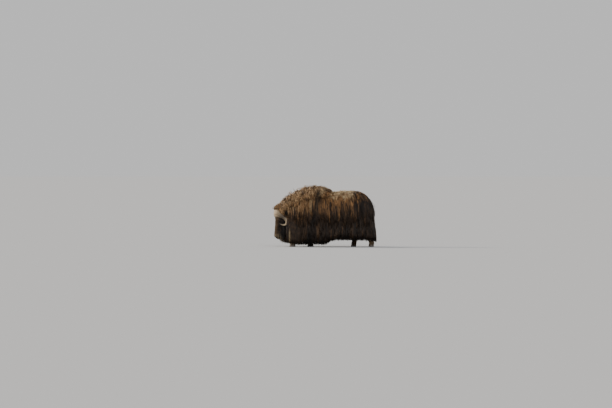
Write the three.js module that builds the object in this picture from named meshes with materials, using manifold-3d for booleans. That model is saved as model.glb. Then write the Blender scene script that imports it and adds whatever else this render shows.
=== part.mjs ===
// A bull muskox in its long coat, walking with its head held low, at life size.
// Millimetres, +Z up. The animal faces -X, and its left side is towards -Y. The origin is on the
// ground, under the middle of its length.
import * as THREE from "three";
import { mergeVertices } from "three/addons/utils/BufferGeometryUtils.js";
import Module from "manifold-3d";

const wasm = await Module();
wasm.setup();

// Driving sizes
const GAP = 0.3; // left between two nodes that meet on a flat cut
const MOULD = 0.6; // how much larger a shape is when its neighbour is cut to fit it
const NECK_END = -560; // where the neck meets the trunk
const POLL = new THREE.Vector3(-955, 0, 875); // the top of the head's own axis
const FACE_TILT = 5; // degrees that the face leans forward of hanging straight down
const HEAD_TURN = 8; // degrees that the head is turned to its left
const BELLY = 520; // the height where the legs leave the trunk
const HOOF_HEIGHT = 62;
const FLOOR_CLEAR = 25; // no hair comes nearer to the ground
const SLIVER = 0.05; // surfaces may move this little when slivers are tidied away
const WEAVE = 4; // and this little where locks are joined

const v = (x, y, z) => new THREE.Vector3(x, y, z);
const rad = THREE.MathUtils.degToRad;
const clamp = THREE.MathUtils.clamp;
const mix = THREE.MathUtils.lerp;
const smooth = (t) => THREE.MathUtils.smoothstep(t, 0, 1);

// Repeatable random numbers from 0 to 1
function dice(seed) {
  let state = seed;
  return () => {
    state = (state * 1664525 + 1013904223) % 4294967296;
    return state / 4294967296;
  };
}

// The value at x of a smooth line through a few stations, sorted by `key`
function along(stations, key, name, x) {
  const last = stations.length - 1;
  if (x <= stations[0][key]) return stations[0][name];
  if (x >= stations[last][key]) return stations[last][name];
  const i = stations.findIndex((s) => s[key] > x) - 1;
  const at = (j) => stations[clamp(j, 0, last)];
  const [a, b, c, d] = [at(i - 1), at(i), at(i + 1), at(i + 2)];
  const span = c[key] - b[key];
  const slopeB = ((c[name] - a[name]) / Math.max(c[key] - a[key], 1)) * span;
  const slopeC = ((d[name] - b[name]) / Math.max(d[key] - b[key], 1)) * span;
  const t = (x - b[key]) / span;
  const [t2, t3] = [t * t, t * t * t];
  return (
    (2 * t3 - 3 * t2 + 1) * b[name] +
    (t3 - 2 * t2 + t) * slopeB +
    (3 * t2 - 2 * t3) * c[name] +
    (t3 - t2) * slopeC
  );
}

// A closed skin over rings of points, with a pole closing each end
function loft(rings, first, last) {
  const n = rings[0].length;
  const points = [first, ...rings.flat(), last];
  const index = [];
  for (let j = 0; j < n; j++) {
    const k = (j + 1) % n;
    index.push(0, 1 + k, 1 + j);
    for (let i = 0; i + 1 < rings.length; i++) {
      const [a, b] = [1 + i * n, 1 + (i + 1) * n];
      index.push(a + j, a + k, b + k, a + j, b + k, b + j);
    }
    const end = 1 + (rings.length - 1) * n;
    index.push(points.length - 1, end + j, end + k);
  }
  const geometry = new THREE.BufferGeometry().setFromPoints(points);
  geometry.setIndex(index);
  return geometry;
}

// A three.js geometry as a solid, turned right side out
function solid(geometry) {
  const bare = new THREE.BufferGeometry();
  bare.setAttribute("position", geometry.getAttribute("position"));
  if (geometry.index) bare.setIndex(geometry.index);
  const merged = mergeVertices(bare, 1e-3);
  const vertProperties = merged.attributes.position.array;
  const triVerts = new Uint32Array(merged.index.array);
  const made = new wasm.Manifold(new wasm.Mesh({ numProp: 3, vertProperties, triVerts }));
  if (made.volume() > 0) return made;
  return new wasm.Manifold(new wasm.Mesh({ numProp: 3, vertProperties, triVerts: triVerts.reverse() }));
}

// A box between two corners
function box(low, high) {
  const size = high.clone().sub(low);
  const middle = high.clone().add(low).multiplyScalar(0.5);
  return solid(new THREE.BoxGeometry(size.x, size.y, size.z).translate(middle.x, middle.y, middle.z));
}

const union = (solids) => wasm.Manifold.union(solids);
const woven = (solids) => union(solids).simplify(WEAVE); // a core and its locks as one solid
const cut = (made, tools) => tools.reduce((rest, tool) => rest.subtract(tool), made);

// The largest closed surface of a solid, with any hollow filled and any loose scrap dropped, and
// the slivers that cutting leaves tidied away
function largest(made) {
  const tidy = made.simplify(SLIVER);
  return tidy.decompose().reduce((best, one) => (one.volume() > best.volume() ? one : best));
}

// A point of a rounded slice, with its half width narrowing by `pinch` towards the top
function slicePoint(slice, angle, grow = 0) {
  const power = 2 / slice.power;
  const round = (c) => Math.sign(c) * Math.abs(c) ** power;
  const [side, rise] = [round(Math.cos(angle)), round(Math.sin(angle))];
  const half = slice.half * (1 - slice.pinch * Math.max(0, rise)) + grow;
  return [half * side, rise * ((rise > 0 ? slice.up : slice.down) + grow)];
}

// Trunk and neck, in upright slices from the throat to the rump
// x: where along the body, top and bottom: the back and the belly, half: half the width,
// pinch: how much narrower the slice is at its top
const TRUNK = [
  { x: -920, top: 1030, bottom: 700, half: 125, pinch: 0.1 },
  { x: -800, top: 1115, bottom: 620, half: 160, pinch: 0.15 },
  { x: -670, top: 1180, bottom: 560, half: 200, pinch: 0.22 },
  { x: -550, top: 1240, bottom: 520, half: 240, pinch: 0.28 },
  { x: -410, top: 1300, bottom: 490, half: 282, pinch: 0.34 },
  { x: -235, top: 1330, bottom: 470, half: 308, pinch: 0.38 },
  { x: -80, top: 1322, bottom: 465, half: 322, pinch: 0.34 },
  { x: 30, top: 1280, bottom: 462, half: 330, pinch: 0.24 },
  { x: 160, top: 1215, bottom: 465, half: 336, pinch: 0.16 },
  { x: 300, top: 1226, bottom: 470, half: 338, pinch: 0.14 },
  { x: 470, top: 1242, bottom: 480, half: 336, pinch: 0.15 },
  { x: 640, top: 1240, bottom: 500, half: 326, pinch: 0.18 },
  { x: 780, top: 1215, bottom: 530, half: 310, pinch: 0.2 },
];
const TRUNK_POWER = 2.25;
const WAIST = 0.46; // the widest level, as a share of the slice's height
const REAR = { from: 780, to: 1062 }; // the rounding of the rump
const FRONT = { from: -850, to: -965 }; // the rounding of the throat

function trunkSlice(x) {
  const [top, bottom] = [along(TRUNK, "x", "top", x), along(TRUNK, "x", "bottom", x)];
  const middle = mix(bottom, top, WAIST);
  return {
    middle,
    up: top - middle,
    down: middle - bottom,
    half: along(TRUNK, "x", "half", x),
    pinch: along(TRUNK, "x", "pinch", x),
    power: TRUNK_POWER,
  };
}

// How far into an end's rounding x is, from 0 to 1
const endShare = (x) =>
  Math.max(0, (x - REAR.from) / (REAR.to - REAR.from), (x - FRONT.from) / (FRONT.to - FRONT.from));

function trunkRing(x, sides, grow) {
  const slice = trunkSlice(x);
  const scale = Math.sqrt(Math.max(0, 1 - Math.min(1, endShare(x)) ** 2));
  return Array.from({ length: sides }, (_, j) => {
    const [y, z] = slicePoint(slice, (2 * Math.PI * j) / sides, grow);
    return v(x, y * scale, slice.middle + z * scale);
  });
}

function trunkCore(sides, grow = 0) {
  const places = [];
  const steps = 15;
  for (const turn of [76, 52, 26]) {
    places.push(mix(FRONT.from, FRONT.to, Math.sin(rad(turn))));
  }
  for (let i = 0; i <= steps; i++) places.push(mix(FRONT.from, REAR.from, i / steps));
  for (const turn of [24, 46, 64, 80]) {
    places.push(mix(REAR.from, REAR.to, Math.sin(rad(turn))));
  }
  const rings = places.map((x) => trunkRing(x, sides, grow));
  const poles = [FRONT.to - grow, REAR.to + grow].map((x) => v(x, 0, trunkSlice(x).middle));
  return solid(loft(rings, ...poles));
}

// How far a point is outside the trunk, and which way is out
function trunkLevel(p) {
  const slice = trunkSlice(p.x);
  const rise = (p.z - slice.middle) / (p.z > slice.middle ? slice.up : slice.down);
  const half = slice.half * (1 - slice.pinch * clamp(rise, 0, 1));
  const flat = Math.abs(p.y / half) ** slice.power + Math.abs(rise) ** slice.power;
  return Math.hypot(flat ** (1 / slice.power), endShare(p.x)) - 1;
}

function trunkOut(p) {
  const step = 2;
  const slope = (axis) => (trunkLevel(p.clone().add(axis)) - trunkLevel(p.clone().sub(axis))) / (2 * step);
  const out = v(slope(v(step, 0, 0)), slope(v(0, step, 0)), slope(v(0, 0, step)));
  const steep = Math.max(out.length(), 1e-6);
  return { distance: trunkLevel(p) / steep, out: out.divideScalar(steep) };
}

// The head, in slices across its own axis, from the poll to the lips
// s: along the axis, up: to the front of the face, down: to the throat, half: half the width
const HEAD = [
  { s: 0, up: 75, down: 95, half: 100 },
  { s: 80, up: 125, down: 135, half: 134 },
  { s: 180, up: 140, down: 152, half: 138 },
  { s: 280, up: 136, down: 148, half: 130 },
  { s: 380, up: 128, down: 122, half: 108 },
  { s: 480, up: 126, down: 84, half: 90 },
  { s: 570, up: 130, down: 52, half: 86 },
  { s: 640, up: 128, down: 42, half: 88 },
  { s: 690, up: 105, down: 34, half: 72 },
];
const HEAD_POWER = 2.5;
const BLUNT_FROM = 640; // the muzzle rounds off from here to the lips
const LIPS_AT = 712;

const headTurn = new THREE.Matrix4().makeRotationZ(rad(HEAD_TURN));
const nosewards = v(-Math.sin(rad(FACE_TILT)), 0, -Math.cos(rad(FACE_TILT))).applyMatrix4(headTurn);
const facewards = v(-Math.cos(rad(FACE_TILT)), 0, Math.sin(rad(FACE_TILT))).applyMatrix4(headTurn);
const sidewards = v(0, 1, 0).applyMatrix4(headTurn);

// A point of the head from its own measures: along the axis, to the right side, to the face
const onHead = (s, side, face) =>
  POLL.clone()
    .addScaledVector(nosewards, s)
    .addScaledVector(sidewards, side)
    .addScaledVector(facewards, face);

function headSlice(s) {
  const get = (name) => along(HEAD, "s", name, s);
  return { up: get("up"), down: get("down"), half: get("half"), pinch: 0.12, power: HEAD_POWER };
}

function headCore(sides, grow = 0) {
  const places = [0, 28, 60, 105, 160, 215, 270, 325, 380, 440, 505, 570, 615, 650, 676, 694, 705];
  const rings = places.map((s) => {
    const slice = headSlice(s);
    const blunt = clamp((s - BLUNT_FROM) / (LIPS_AT - BLUNT_FROM), 0, 1);
    const scale = Math.sqrt(1 - blunt * blunt);
    const crown = s < 60 ? Math.sqrt(1 - ((60 - s) / 75) ** 2) : 1;
    const middle = (slice.up - slice.down) / 2;
    return Array.from({ length: sides }, (_, j) => {
      const [side, face] = slicePoint(slice, (2 * Math.PI * j) / sides, grow);
      return onHead(s, side * scale * crown, middle + (face - middle) * scale * crown);
    });
  });
  const middle = (s) => (headSlice(s).up - headSlice(s).down) / 2;
  return solid(
    loft(rings, onHead(-14 - grow, 0, middle(0)), onHead(LIPS_AT + grow, 0, middle(LIPS_AT))),
  );
}

// A tube whose round or flattened section follows a smooth path without twisting
// stations: {at, wide, thick}, wideWay: the way that the section's wide side lies at the start
// A tube whose last station has no width ends in a point.
function tube(stations, sides, steps, wideWay, grow = 0) {
  const path = new THREE.CatmullRomCurve3(stations.map((s) => s.at), false, "centripetal");
  const size = stations.map((s, i) => ({ i, wide: s.wide, thick: s.thick }));
  const last = stations.length - 1;
  const pointed = stations[last].wide === 0;
  const across = wideWay.clone();
  const rings = [];
  for (let i = 0; i <= steps - (pointed ? 1 : 0); i++) {
    const t = i / steps;
    const centre = path.getPoint(t);
    const tangent = path.getTangent(t);
    across.addScaledVector(tangent, -across.dot(tangent)).normalize();
    const over = new THREE.Vector3().crossVectors(tangent, across);
    const wide = along(size, "i", "wide", t * last) + grow;
    const thick = along(size, "i", "thick", t * last) + grow;
    rings.push(
      Array.from({ length: sides }, (_, j) => {
        const angle = (2 * Math.PI * j) / sides;
        return centre
          .clone()
          .addScaledVector(across, wide * Math.cos(angle))
          .addScaledVector(over, thick * Math.sin(angle));
      }),
    );
  }
  const reach = 0.25;
  const start = path.getPoint(0).addScaledVector(path.getTangent(0), -stations[0].thick * reach - grow);
  const end = path.getPoint(1).addScaledVector(path.getTangent(1), stations[last].thick * reach + grow);
  return solid(loft(rings, start, end));
}

// One horn: a broad flat boss on the brow that drops beside the cheek and hooks forward and up
// side is for the right horn, and the left one mirrors it
const HORN = [
  { s: 118, side: 14, face: 128, wide: 96, thick: 34 },
  { s: 122, side: 72, face: 140, wide: 98, thick: 40 },
  { s: 136, side: 130, face: 108, wide: 84, thick: 38 },
  { s: 166, side: 164, face: 36, wide: 62, thick: 34 },
  { s: 216, side: 182, face: -46, wide: 45, thick: 31 },
  { s: 284, side: 202, face: -100, wide: 33, thick: 27 },
  { s: 348, side: 230, face: -86, wide: 25, thick: 23 },
  { s: 378, side: 258, face: -22, wide: 18, thick: 17 },
  { s: 364, side: 276, face: 46, wide: 10, thick: 10 },
  { s: 346, side: 282, face: 84, wide: 3, thick: 3 },
];

function horn(side, grow = 0) {
  const stations = HORN.map((h) => ({
    at: onHead(h.s, side * h.side, h.face),
    wide: h.wide,
    thick: h.thick,
  }));
  return tube(stations, 10, 15, nosewards, grow);
}

// Eyes, each in a raised socket with a thick rim of lids
const EYE = { s: 268, side: 124, face: 62, radius: 24 };
const LIDS = { radius: 24, thick: 7, long: 1.16, tall: 0.86, out: 9 };
const eyeCentre = (side) => onHead(EYE.s, side * EYE.side, EYE.face);

function eyeball(side, grow = 0) {
  const at = eyeCentre(side);
  return solid(new THREE.SphereGeometry(EYE.radius + grow, 12, 8).translate(at.x, at.y, at.z));
}

function eyeSurround(side) {
  const outward = sidewards.clone().multiplyScalar(side).addScaledVector(facewards, 0.35).normalize();
  const up = nosewards.clone().negate();
  const ahead = new THREE.Vector3().crossVectors(outward, up).normalize();
  const across = new THREE.Vector3().crossVectors(outward, ahead);
  const turn = new THREE.Matrix4().makeBasis(ahead, across, outward);
  const place = (geometry, lift) => {
    const at = eyeCentre(side).addScaledVector(outward, lift);
    return solid(geometry.applyMatrix4(turn).translate(at.x, at.y, at.z));
  };
  const rim = new THREE.TorusGeometry(LIDS.radius, LIDS.thick, 4, 11).scale(LIDS.long, LIDS.tall, 1);
  const socket = new THREE.SphereGeometry(46, 8, 5).scale(1.1, 1, 0.62);
  return union([place(rim, LIDS.out), place(socket, -16)]);
}

// The mouth's line, from one corner round the front of the lips to the other
const MOUTH = { corner: 588, face: 16, groove: 3.2 };

function mouthLine() {
  const places = [MOUTH.corner, 630, 668, 696];
  const side = places.map((s) => {
    const blunt = clamp((s - BLUNT_FROM) / (LIPS_AT - BLUNT_FROM), 0, 1);
    return { s, side: headSlice(s).half * Math.sqrt(1 - blunt * blunt) - 1 };
  });
  const right = side.map((p) => onHead(p.s, p.side, MOUTH.face));
  const left = side.map((p) => onHead(p.s, -p.side, MOUTH.face)).reverse();
  const points = [...right, onHead(LIPS_AT - 1, 0, MOUTH.face), ...left];
  const stations = points.map((at) => ({ at, wide: MOUTH.groove, thick: MOUTH.groove }));
  return tube(stations, 4, 9, facewards);
}

// Each nostril is a slanting comma cut into the end of the muzzle
function nostril(side) {
  const stations = [
    { at: onHead(646, side * 52, 112), wide: 5, thick: 4 },
    { at: onHead(668, side * 44, 104), wide: 10, thick: 7 },
    { at: onHead(688, side * 33, 88), wide: 12, thick: 9 },
    { at: onHead(694, side * 24, 70), wide: 6, thick: 5 },
  ];
  return tube(stations, 6, 4, sidewards);
}

// Ears: a leaf with a hollow cup, behind and below the horn's boss
const EAR = { s: 128, side: 128, face: -84, length: 132, wide: 36, thick: 13, droop: 24, back: 46 };

function ear(side, grow = 0) {
  const way = (share) =>
    onHead(
      EAR.s + EAR.droop * share,
      side * (EAR.side + EAR.length * share),
      EAR.face - EAR.back * share,
    );
  const shape = (wide, thick, lift, from, to) =>
    [0, 0.3, 0.62, 0.86, 1].map((share, i) => ({
      at: way(mix(from, to, share)).addScaledVector(facewards, lift),
      wide: wide * [0.62, 1, 0.92, 0.55, 0.12][i],
      thick: thick * [1, 0.95, 0.8, 0.6, 0.3][i],
    }));
  const leaf = tube(shape(EAR.wide, EAR.thick, 0, -0.12, 1), 8, 6, nosewards, grow);
  if (grow) return leaf;
  const cup = shape(EAR.wide * 0.66, EAR.thick * 0.7, EAR.thick * 0.8, 0.22, 0.86);
  return leaf.subtract(tube(cup, 6, 4, nosewards));
}

// Legs: from the belly to the hoof, each with its own stride
const LEGS = {
  fore_left: { hip: v(-470, -178, BELLY), foot: v(-728, -172, 0), fore: true },
  fore_right: { hip: v(-400, 178, BELLY), foot: v(-318, 168, 0), fore: true },
  hind_left: { hip: v(800, -180, BELLY + 60), foot: v(1062, -176, 0), fore: false },
  hind_right: { hip: v(700, 180, BELLY + 40), foot: v(668, 172, 0), fore: false },
};
const HOOF = { fore: { long: 142, wide: 136 }, hind: { long: 124, wide: 116 } };
const FETLOCK = 118;

function leg(name, grow = 0) {
  const { hip, foot, fore } = LEGS[name];
  const girth = fore ? 1 : 0.94;
  const knee = fore ? 0.5 : 0.56; // the share of the way down, knee or hock
  const joint = v(
    mix(hip.x, foot.x, knee) + (fore ? -12 : 44),
    mix(hip.y, foot.y, knee),
    mix(hip.z, FETLOCK, knee),
  );
  const stations = [
    { at: hip.clone().setZ(hip.z + 120), wide: 108, thick: 82 },
    { at: hip.clone(), wide: 98, thick: 74 },
    { at: joint.clone().lerp(hip, 0.45), wide: 72 * girth, thick: 60 * girth },
    { at: joint, wide: 58 * girth, thick: 50 * girth },
    { at: joint.clone().lerp(v(foot.x + 14, foot.y, FETLOCK), 0.55), wide: 44 * girth, thick: 40 * girth },
    { at: v(foot.x + 14, foot.y, FETLOCK), wide: 52 * girth, thick: 50 * girth },
    { at: v(foot.x + 2, foot.y, HOOF_HEIGHT - 6), wide: 56 * girth, thick: 54 * girth },
  ];
  const shaft = tube(stations, 8, 9, v(1, 0, 0), grow);
  const claws = [-1, 1].map((side) => {
    const claw = new THREE.SphereGeometry(19 + grow, 6, 4).scale(0.8, 0.62, 1.25);
    return solid(claw.translate(foot.x + 58 * girth, foot.y + side * 27, FETLOCK - 14));
  });
  return union([shaft, ...claws]);
}

// A short tail that lies against the rump
const TAIL = [
  { at: v(1010, 0, 985), wide: 30, thick: 24 },
  { at: v(1062, 0, 950), wide: 34, thick: 27 },
  { at: v(1092, 0, 890), wide: 33, thick: 26 },
  { at: v(1102, 0, 830), wide: 24, thick: 18 },
  { at: v(1104, 0, 790), wide: 9, thick: 8 },
];
const tail = (grow = 0) => tube(TAIL, 8, 9, v(0, 1, 0), grow);

// One half of a cloven hoof: a flat sole, a sloping front wall and a flat top under the hair
function toe(name, side) {
  const { foot, fore } = LEGS[name];
  const { long, wide } = fore ? HOOF.fore : HOOF.hind;
  const cleft = 5;
  const levels = [
    { z: 0, long: 0.96, wide: 0.95 },
    { z: 7, long: 1, wide: 1 },
    { z: 32, long: 0.94, wide: 0.95 },
    { z: HOOF_HEIGHT, long: 0.78, wide: 0.8 },
  ];
  const rings = levels.map((level) =>
    Array.from({ length: 10 }, (_, j) => {
      const angle = (2 * Math.PI * j) / 10;
      const y = Math.max(0, Math.sin(angle)) ** 0.8 * (wide / 2 - cleft) * level.wide;
      const x = Math.cos(angle) * (long / 2) * level.long * (1 - 0.16 * (y / wide));
      const back = (level.z / HOOF_HEIGHT) * long * 0.07;
      const inner = Math.sin(angle) < 0 ? -Math.sin(angle) * 3 : 0;
      return v(foot.x + x + back, foot.y + side * (cleft - inner + y), level.z);
    }),
  );
  const centre = (z) => v(foot.x, foot.y + side * (cleft + wide / 5), z);
  return solid(loft(rings, centre(0), centre(HOOF_HEIGHT)));
}

// Hair hangs from a root on the trunk: out along its normal, then down under its weight,
// sliding over the body and standing further off it towards the tip
const STALL = 262; // hair below the belly hangs at least this far from the middle, clear of the legs
const DOWN = v(0, 0, -1);

function hang(root, { length, steps, depth, sunk = 26, lie = DOWN, lift = 0.3, hem = FLOOR_CLEAR }) {
  const { out } = trunkOut(root);
  const path = [root.clone().addScaledVector(out, -sunk), root.clone().addScaledVector(out, 4)];
  const heading = out.clone().multiplyScalar(lift).add(lie).normalize();
  const stride = length / steps;
  const weight = 0.011 * stride;
  const p = path[1].clone();
  for (let i = 1; i <= steps; i++) {
    heading.addScaledVector(DOWN, weight).normalize();
    p.addScaledVector(heading, stride);
    const level = trunkOut(p);
    const clear = depth * smooth((i / steps) * 1.25);
    if (level.distance < clear) p.addScaledVector(level.out, clear - level.distance);
    if (p.z < BELLY && Math.abs(out.y) > 0.5) p.y = Math.sign(p.y) * Math.max(Math.abs(p.y), STALL);
    if (p.z < hem) p.z = hem;
    path.push(p.clone());
  }
  return { path, out };
}

// The height of the coat's hem above the ground
const HEM = [
  { x: -900, z: 120 },
  { x: -560, z: 40 },
  { x: -150, z: 34 },
  { x: 20, z: 48 },
  { x: 160, z: 140 },
  { x: 850, z: 150 },
  { x: 1080, z: 120 },
];
const hemAt = (x) => along(HEM, "x", "z", x);

// Points on one side of the trunk at a height, evenly spaced from the throat to the rump
function contour(z, spacing, from, to) {
  const fine = [];
  for (let x = from; x <= to; x += 3) {
    const slice = trunkSlice(x);
    const rise = (z - slice.middle) / (z > slice.middle ? slice.up : slice.down);
    const room = (1 - Math.min(1, endShare(x)) ** 2) ** (slice.power / 2) - Math.abs(rise) ** slice.power;
    if (room > 0) {
      fine.push(v(x, slice.half * (1 - slice.pinch * clamp(rise, 0, 1)) * room ** (1 / slice.power), z));
    }
  }
  const points = [];
  let walked = spacing / 2;
  for (let i = 1; i < fine.length; i++) {
    walked += fine[i].distanceTo(fine[i - 1]);
    if (walked >= spacing) {
      points.push(fine[i]);
      walked -= spacing;
    }
  }
  return points;
}

// A flat, tapered lock along a path
const LOCK_SHAPE = [0.7, 0.92, 1, 0.98, 0.86, 0.6, 0]; // its width from root to tip, as a share
const LOCK_SIDES = 4;

function lockAlong(path, across, wide, thick, steps, grow = 0) {
  const stations = path.map((at, i) => {
    const share = (i / (path.length - 1)) * (LOCK_SHAPE.length - 1);
    const [low, high] = [Math.floor(share), Math.ceil(share)];
    const size = mix(LOCK_SHAPE[low], LOCK_SHAPE[high], share - low);
    return { at, wide: (wide / 2) * size, thick: (thick / 2) * size };
  });
  return tube(stations, LOCK_SIDES, steps, across, grow);
}

// Rows of long locks that hang from the side, the rump and the throat
// z: the height of the roots, length: of the hair, or 0 where it reaches the hem,
// depth: how far the tips stand off the body
const ROWS = [
  { z: 650, length: 0, depth: 44, wide: 222, thick: 30, spacing: 190 },
  { z: 815, length: 520, depth: 60, wide: 222, thick: 32, spacing: 190 },
  { z: 975, length: 470, depth: 76, wide: 220, thick: 32, spacing: 190 },
  { z: 1125, length: 400, depth: 76, wide: 216, thick: 32, spacing: 190 },
];
const HAIR_FROM = -838; // nearer to the nose the hair is the head's own
const HAIR_TO = 1054;
const TAIL_ROOM = { x: 1010, y: 44, z: 760 }; // the rump's hair parts round the tail

function sideLocks(side, from, to) {
  const random = dice(side > 0 ? 71 : 29);
  const locks = [];
  ROWS.forEach((row, level) => {
    contour(row.z, row.spacing, HAIR_FROM + (level % 2) * 40, HAIR_TO).forEach((place, i) => {
      const [a, b, c, d] = [random(), random(), random(), random()];
      if (place.x < from || place.x > to) return;
      if (place.x > TAIL_ROOM.x && place.y < TAIL_ROOM.y && place.z > TAIL_ROOM.z) return;
      const root = v(place.x, side * place.y, place.z + 36 * (a - 0.5));
      const hem = hemAt(root.x) + 34 * b;
      const length = row.length ? row.length * (0.88 + 0.24 * b) : root.z - hem;
      const { path, out } = hang(root, { length, steps: 6, depth: row.depth + 22 * (i % 2), hem });
      const across = new THREE.Vector3().crossVectors(out, DOWN).normalize();
      const sway = 16 * (c - 0.5);
      path.forEach((p, j) => {
        const wave = (j / (path.length - 1)) * 4 * (0.6 + d);
        p.addScaledVector(across, sway * Math.sin(wave));
      });
      locks.push(lockAlong(path, across, row.wide * (0.9 + 0.2 * d), row.thick, 4));
    });
  });
  return locks;
}

// Shorter locks along the back, which fall sideways and backwards and stand up on the hump
// x: where along the body, length: of the hair, lift: how much it stands up
const CREST = [
  { x: -930, length: 200, lift: 1.3, depth: 96 },
  { x: -700, length: 230, lift: 1.7, depth: 124 },
  { x: -300, length: 270, lift: 2.3, depth: 146 },
  { x: -20, length: 240, lift: 1.9, depth: 124 },
  { x: 120, length: 200, lift: 0.8, depth: 66 },
  { x: 420, length: 230, lift: 0.8, depth: 66 },
  { x: 760, length: 250, lift: 0.8, depth: 66 },
];

const POLL_HAIR = -830; // nearer to the nose the crest falls forward over the poll
const CREST_ROWS = [0.95, 0.58]; // shares of the quarter turn from the side to the ridge

function crestLocks(side, from, to) {
  const random = dice(side > 0 ? 17 : 43);
  const locks = [];
  for (const [row, share] of CREST_ROWS.entries()) {
    for (let x = -905 + 82 * row + (side > 0 ? 82 : 0); x < 970; x += 164) {
      const [a, b, c] = [random(), random(), random()];
      if (x < from || x > to) continue;
      const [y, z] = slicePoint(trunkSlice(x), (Math.PI / 2) * share);
      const scale = Math.sqrt(1 - endShare(x) ** 2);
      const root = v(x, side * y * scale, trunkSlice(x).middle + z * scale);
      const get = (name) => along(CREST, "x", name, x);
      const onward = x < POLL_HAIR ? -0.75 : 0.42;
      const lie = v(onward + 0.4 * (a - 0.5), side * (0.8 + 0.4 * share), -0.2);
      const length = get("length") * (0.85 + 0.3 * b) * (row ? 1.25 : 1);
      const { path, out } = hang(root, { length, steps: 5, depth: get("depth"), lie, lift: get("lift") });
      const across = new THREE.Vector3().crossVectors(out, lie).normalize();
      locks.push(lockAlong(path, across, 172 * (0.88 + 0.24 * c), 36, 3));
    }
  }
  return locks;
}

// The throat's and the brisket's long hair, between the two sides
function throatLocks() {
  const random = dice(5);
  const locks = [];
  for (let row = 0; row < 3; row++) {
    for (const y of row % 2 ? [-64, 64] : [-112, 0, 112]) {
      const [a, b] = [random(), random()];
      const x = -770 + 92 * row;
      const slice = trunkSlice(x);
      const sink = Math.sqrt(1 - (y / slice.half) ** 2);
      const root = v(x, y, slice.middle - slice.down * sink + 30);
      const path = [0, 0.2, 0.45, 0.7, 1].map((t) => {
        const drop = (root.z - hemAt(x) - 30 * a) * t;
        return v(x - 12 * Math.sin(3 * t) + 16 * t * b, y * (1 + 0.12 * t), root.z - drop);
      });
      locks.push(lockAlong(path, v(0, 1, 0), 140, 32, 4));
    }
  }
  return locks;
}

// The head's own long hair: cheeks, jaw and chin, and the shock between and behind the horns
function cheekLocks(side, grow = 0) {
  const random = dice(side > 0 ? 3 : 11);
  return [190, 295, 400, 505].map((s, i) => {
    const [a, b] = [random(), random()];
    const slice = headSlice(s);
    const outer = 0.62 - 0.05 * (i % 2);
    const length = mix(190, 120, i / 3) * (0.9 + 0.2 * a);
    const start = [slice.half * outer, -slice.down * 0.78];
    const path = [-0.16, 0.15, 0.5, 0.8, 1].map((t) => {
      const fall = length * 0.72 * Math.max(t, 0) ** 1.3;
      const bulge = start[0] + 14 * Math.sin(2.4 * t) + 8 * b;
      return onHead(s + fall, side * bulge, start[1] - length * 0.5 * t);
    });
    const across = sidewards.clone().multiplyScalar(side).addScaledVector(nosewards, 0.9).normalize();
    return lockAlong(path, across, 112, 28, 3, grow);
  });
}

function forelock(grow = 0) {
  const random = dice(23);
  return [-66, -22, 22, 66].map((side, i) => {
    const a = random();
    const lift = i % 2 ? 18 : 4;
    const path = [
      onHead(-2, side * 0.8, 40),
      onHead(-30, side, 74 + lift),
      onHead(-14, side * 1.05, 118 + lift),
      onHead(26 + 22 * a, side * 1.08, 150 + lift),
      onHead(66 + 22 * a, side * 1.1, 168 + lift),
    ];
    return lockAlong(path, sidewards, 74, 26, 3, grow);
  });
}

// Materials
const coat = new THREE.MeshStandardMaterial({ color: 0x3a2a1e, roughness: 0.9 });
const faceCoat = new THREE.MeshStandardMaterial({ color: 0x33271e, roughness: 0.85 });
const hornPlate = new THREE.MeshStandardMaterial({ color: 0xb8a283, roughness: 0.45 });
const eyeGloss = new THREE.MeshStandardMaterial({ color: 0x160e09, roughness: 0.08 });
const hoofHorn = new THREE.MeshStandardMaterial({ color: 0x2a2420, roughness: 0.5 });

// A solid as a named mesh
function node(name, made, material) {
  const mesh = largest(made).getMesh();
  const geometry = new THREE.BufferGeometry();
  geometry.setAttribute("position", new THREE.BufferAttribute(mesh.vertProperties, 3));
  geometry.setIndex(new THREE.BufferAttribute(mesh.triVerts, 1));
  geometry.computeVertexNormals();
  const part = new THREE.Mesh(geometry, material);
  part.name = name;
  return part;
}

const GROOVE = 18; // the strip of hair between the two bosses
const FAR = 3000; // beyond the whole animal
const half = GAP / 2;
const SIDES = { left: -1, right: 1 };
const muskox = new THREE.Group();
const legNames = Object.keys(LEGS);
const TRUNK_SIDES = 20;

// Legs and hooves
const trunkTool = trunkCore(TRUNK_SIDES, MOULD);
for (const name of legNames) {
  const above = box(v(-FAR, -FAR, HOOF_HEIGHT + GAP), v(FAR, FAR, FAR));
  muskox.add(node(`leg_${name}`, leg(name).intersect(above).subtract(trunkTool), faceCoat));
  for (const [toeName, side] of [["outer", 1], ["inner", -1]]) {
    const outward = Math.sign(LEGS[name].foot.y) * side;
    muskox.add(node(`hoof_${name}_${toeName}`, toe(name, outward), hoofHorn));
  }
}

// Head, horns, eyes and ears
const headSides = 18;
const headTool = headCore(headSides, MOULD);
const hornTools = {};
const earTools = {};
const faceWorks = [mouthLine()];
for (const [sideName, side] of Object.entries(SIDES)) {
  const beyondGroove = new THREE.BoxGeometry(2 * FAR, FAR, 2 * FAR)
    .translate(0, side * (FAR / 2 + GROOVE / 2), 0)
    .applyMatrix4(headTurn)
    .translate(POLL.x, POLL.y, 0);
  hornTools[sideName] = horn(side, MOULD);
  earTools[sideName] = ear(side, MOULD);
  faceWorks.push(eyeball(side, MOULD), nostril(side));
  muskox.add(
    node(`horn_${sideName}`, horn(side).intersect(solid(beyondGroove)).subtract(headTool), hornPlate),
    node(`eye_${sideName}`, eyeball(side), eyeGloss),
    node(`ear_${sideName}`, cut(ear(side), [headTool, hornTools[sideName]]), coat),
  );
}
const face = [headCore(headSides), eyeSurround(-1), eyeSurround(1)];
const headHair = [...cheekLocks(-1), ...cheekLocks(1), ...forelock()];
const onFace = [...Object.values(hornTools), ...Object.values(earTools)];
const head = cut(union([cut(union(face), faceWorks), ...headHair]), onFace);
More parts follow.
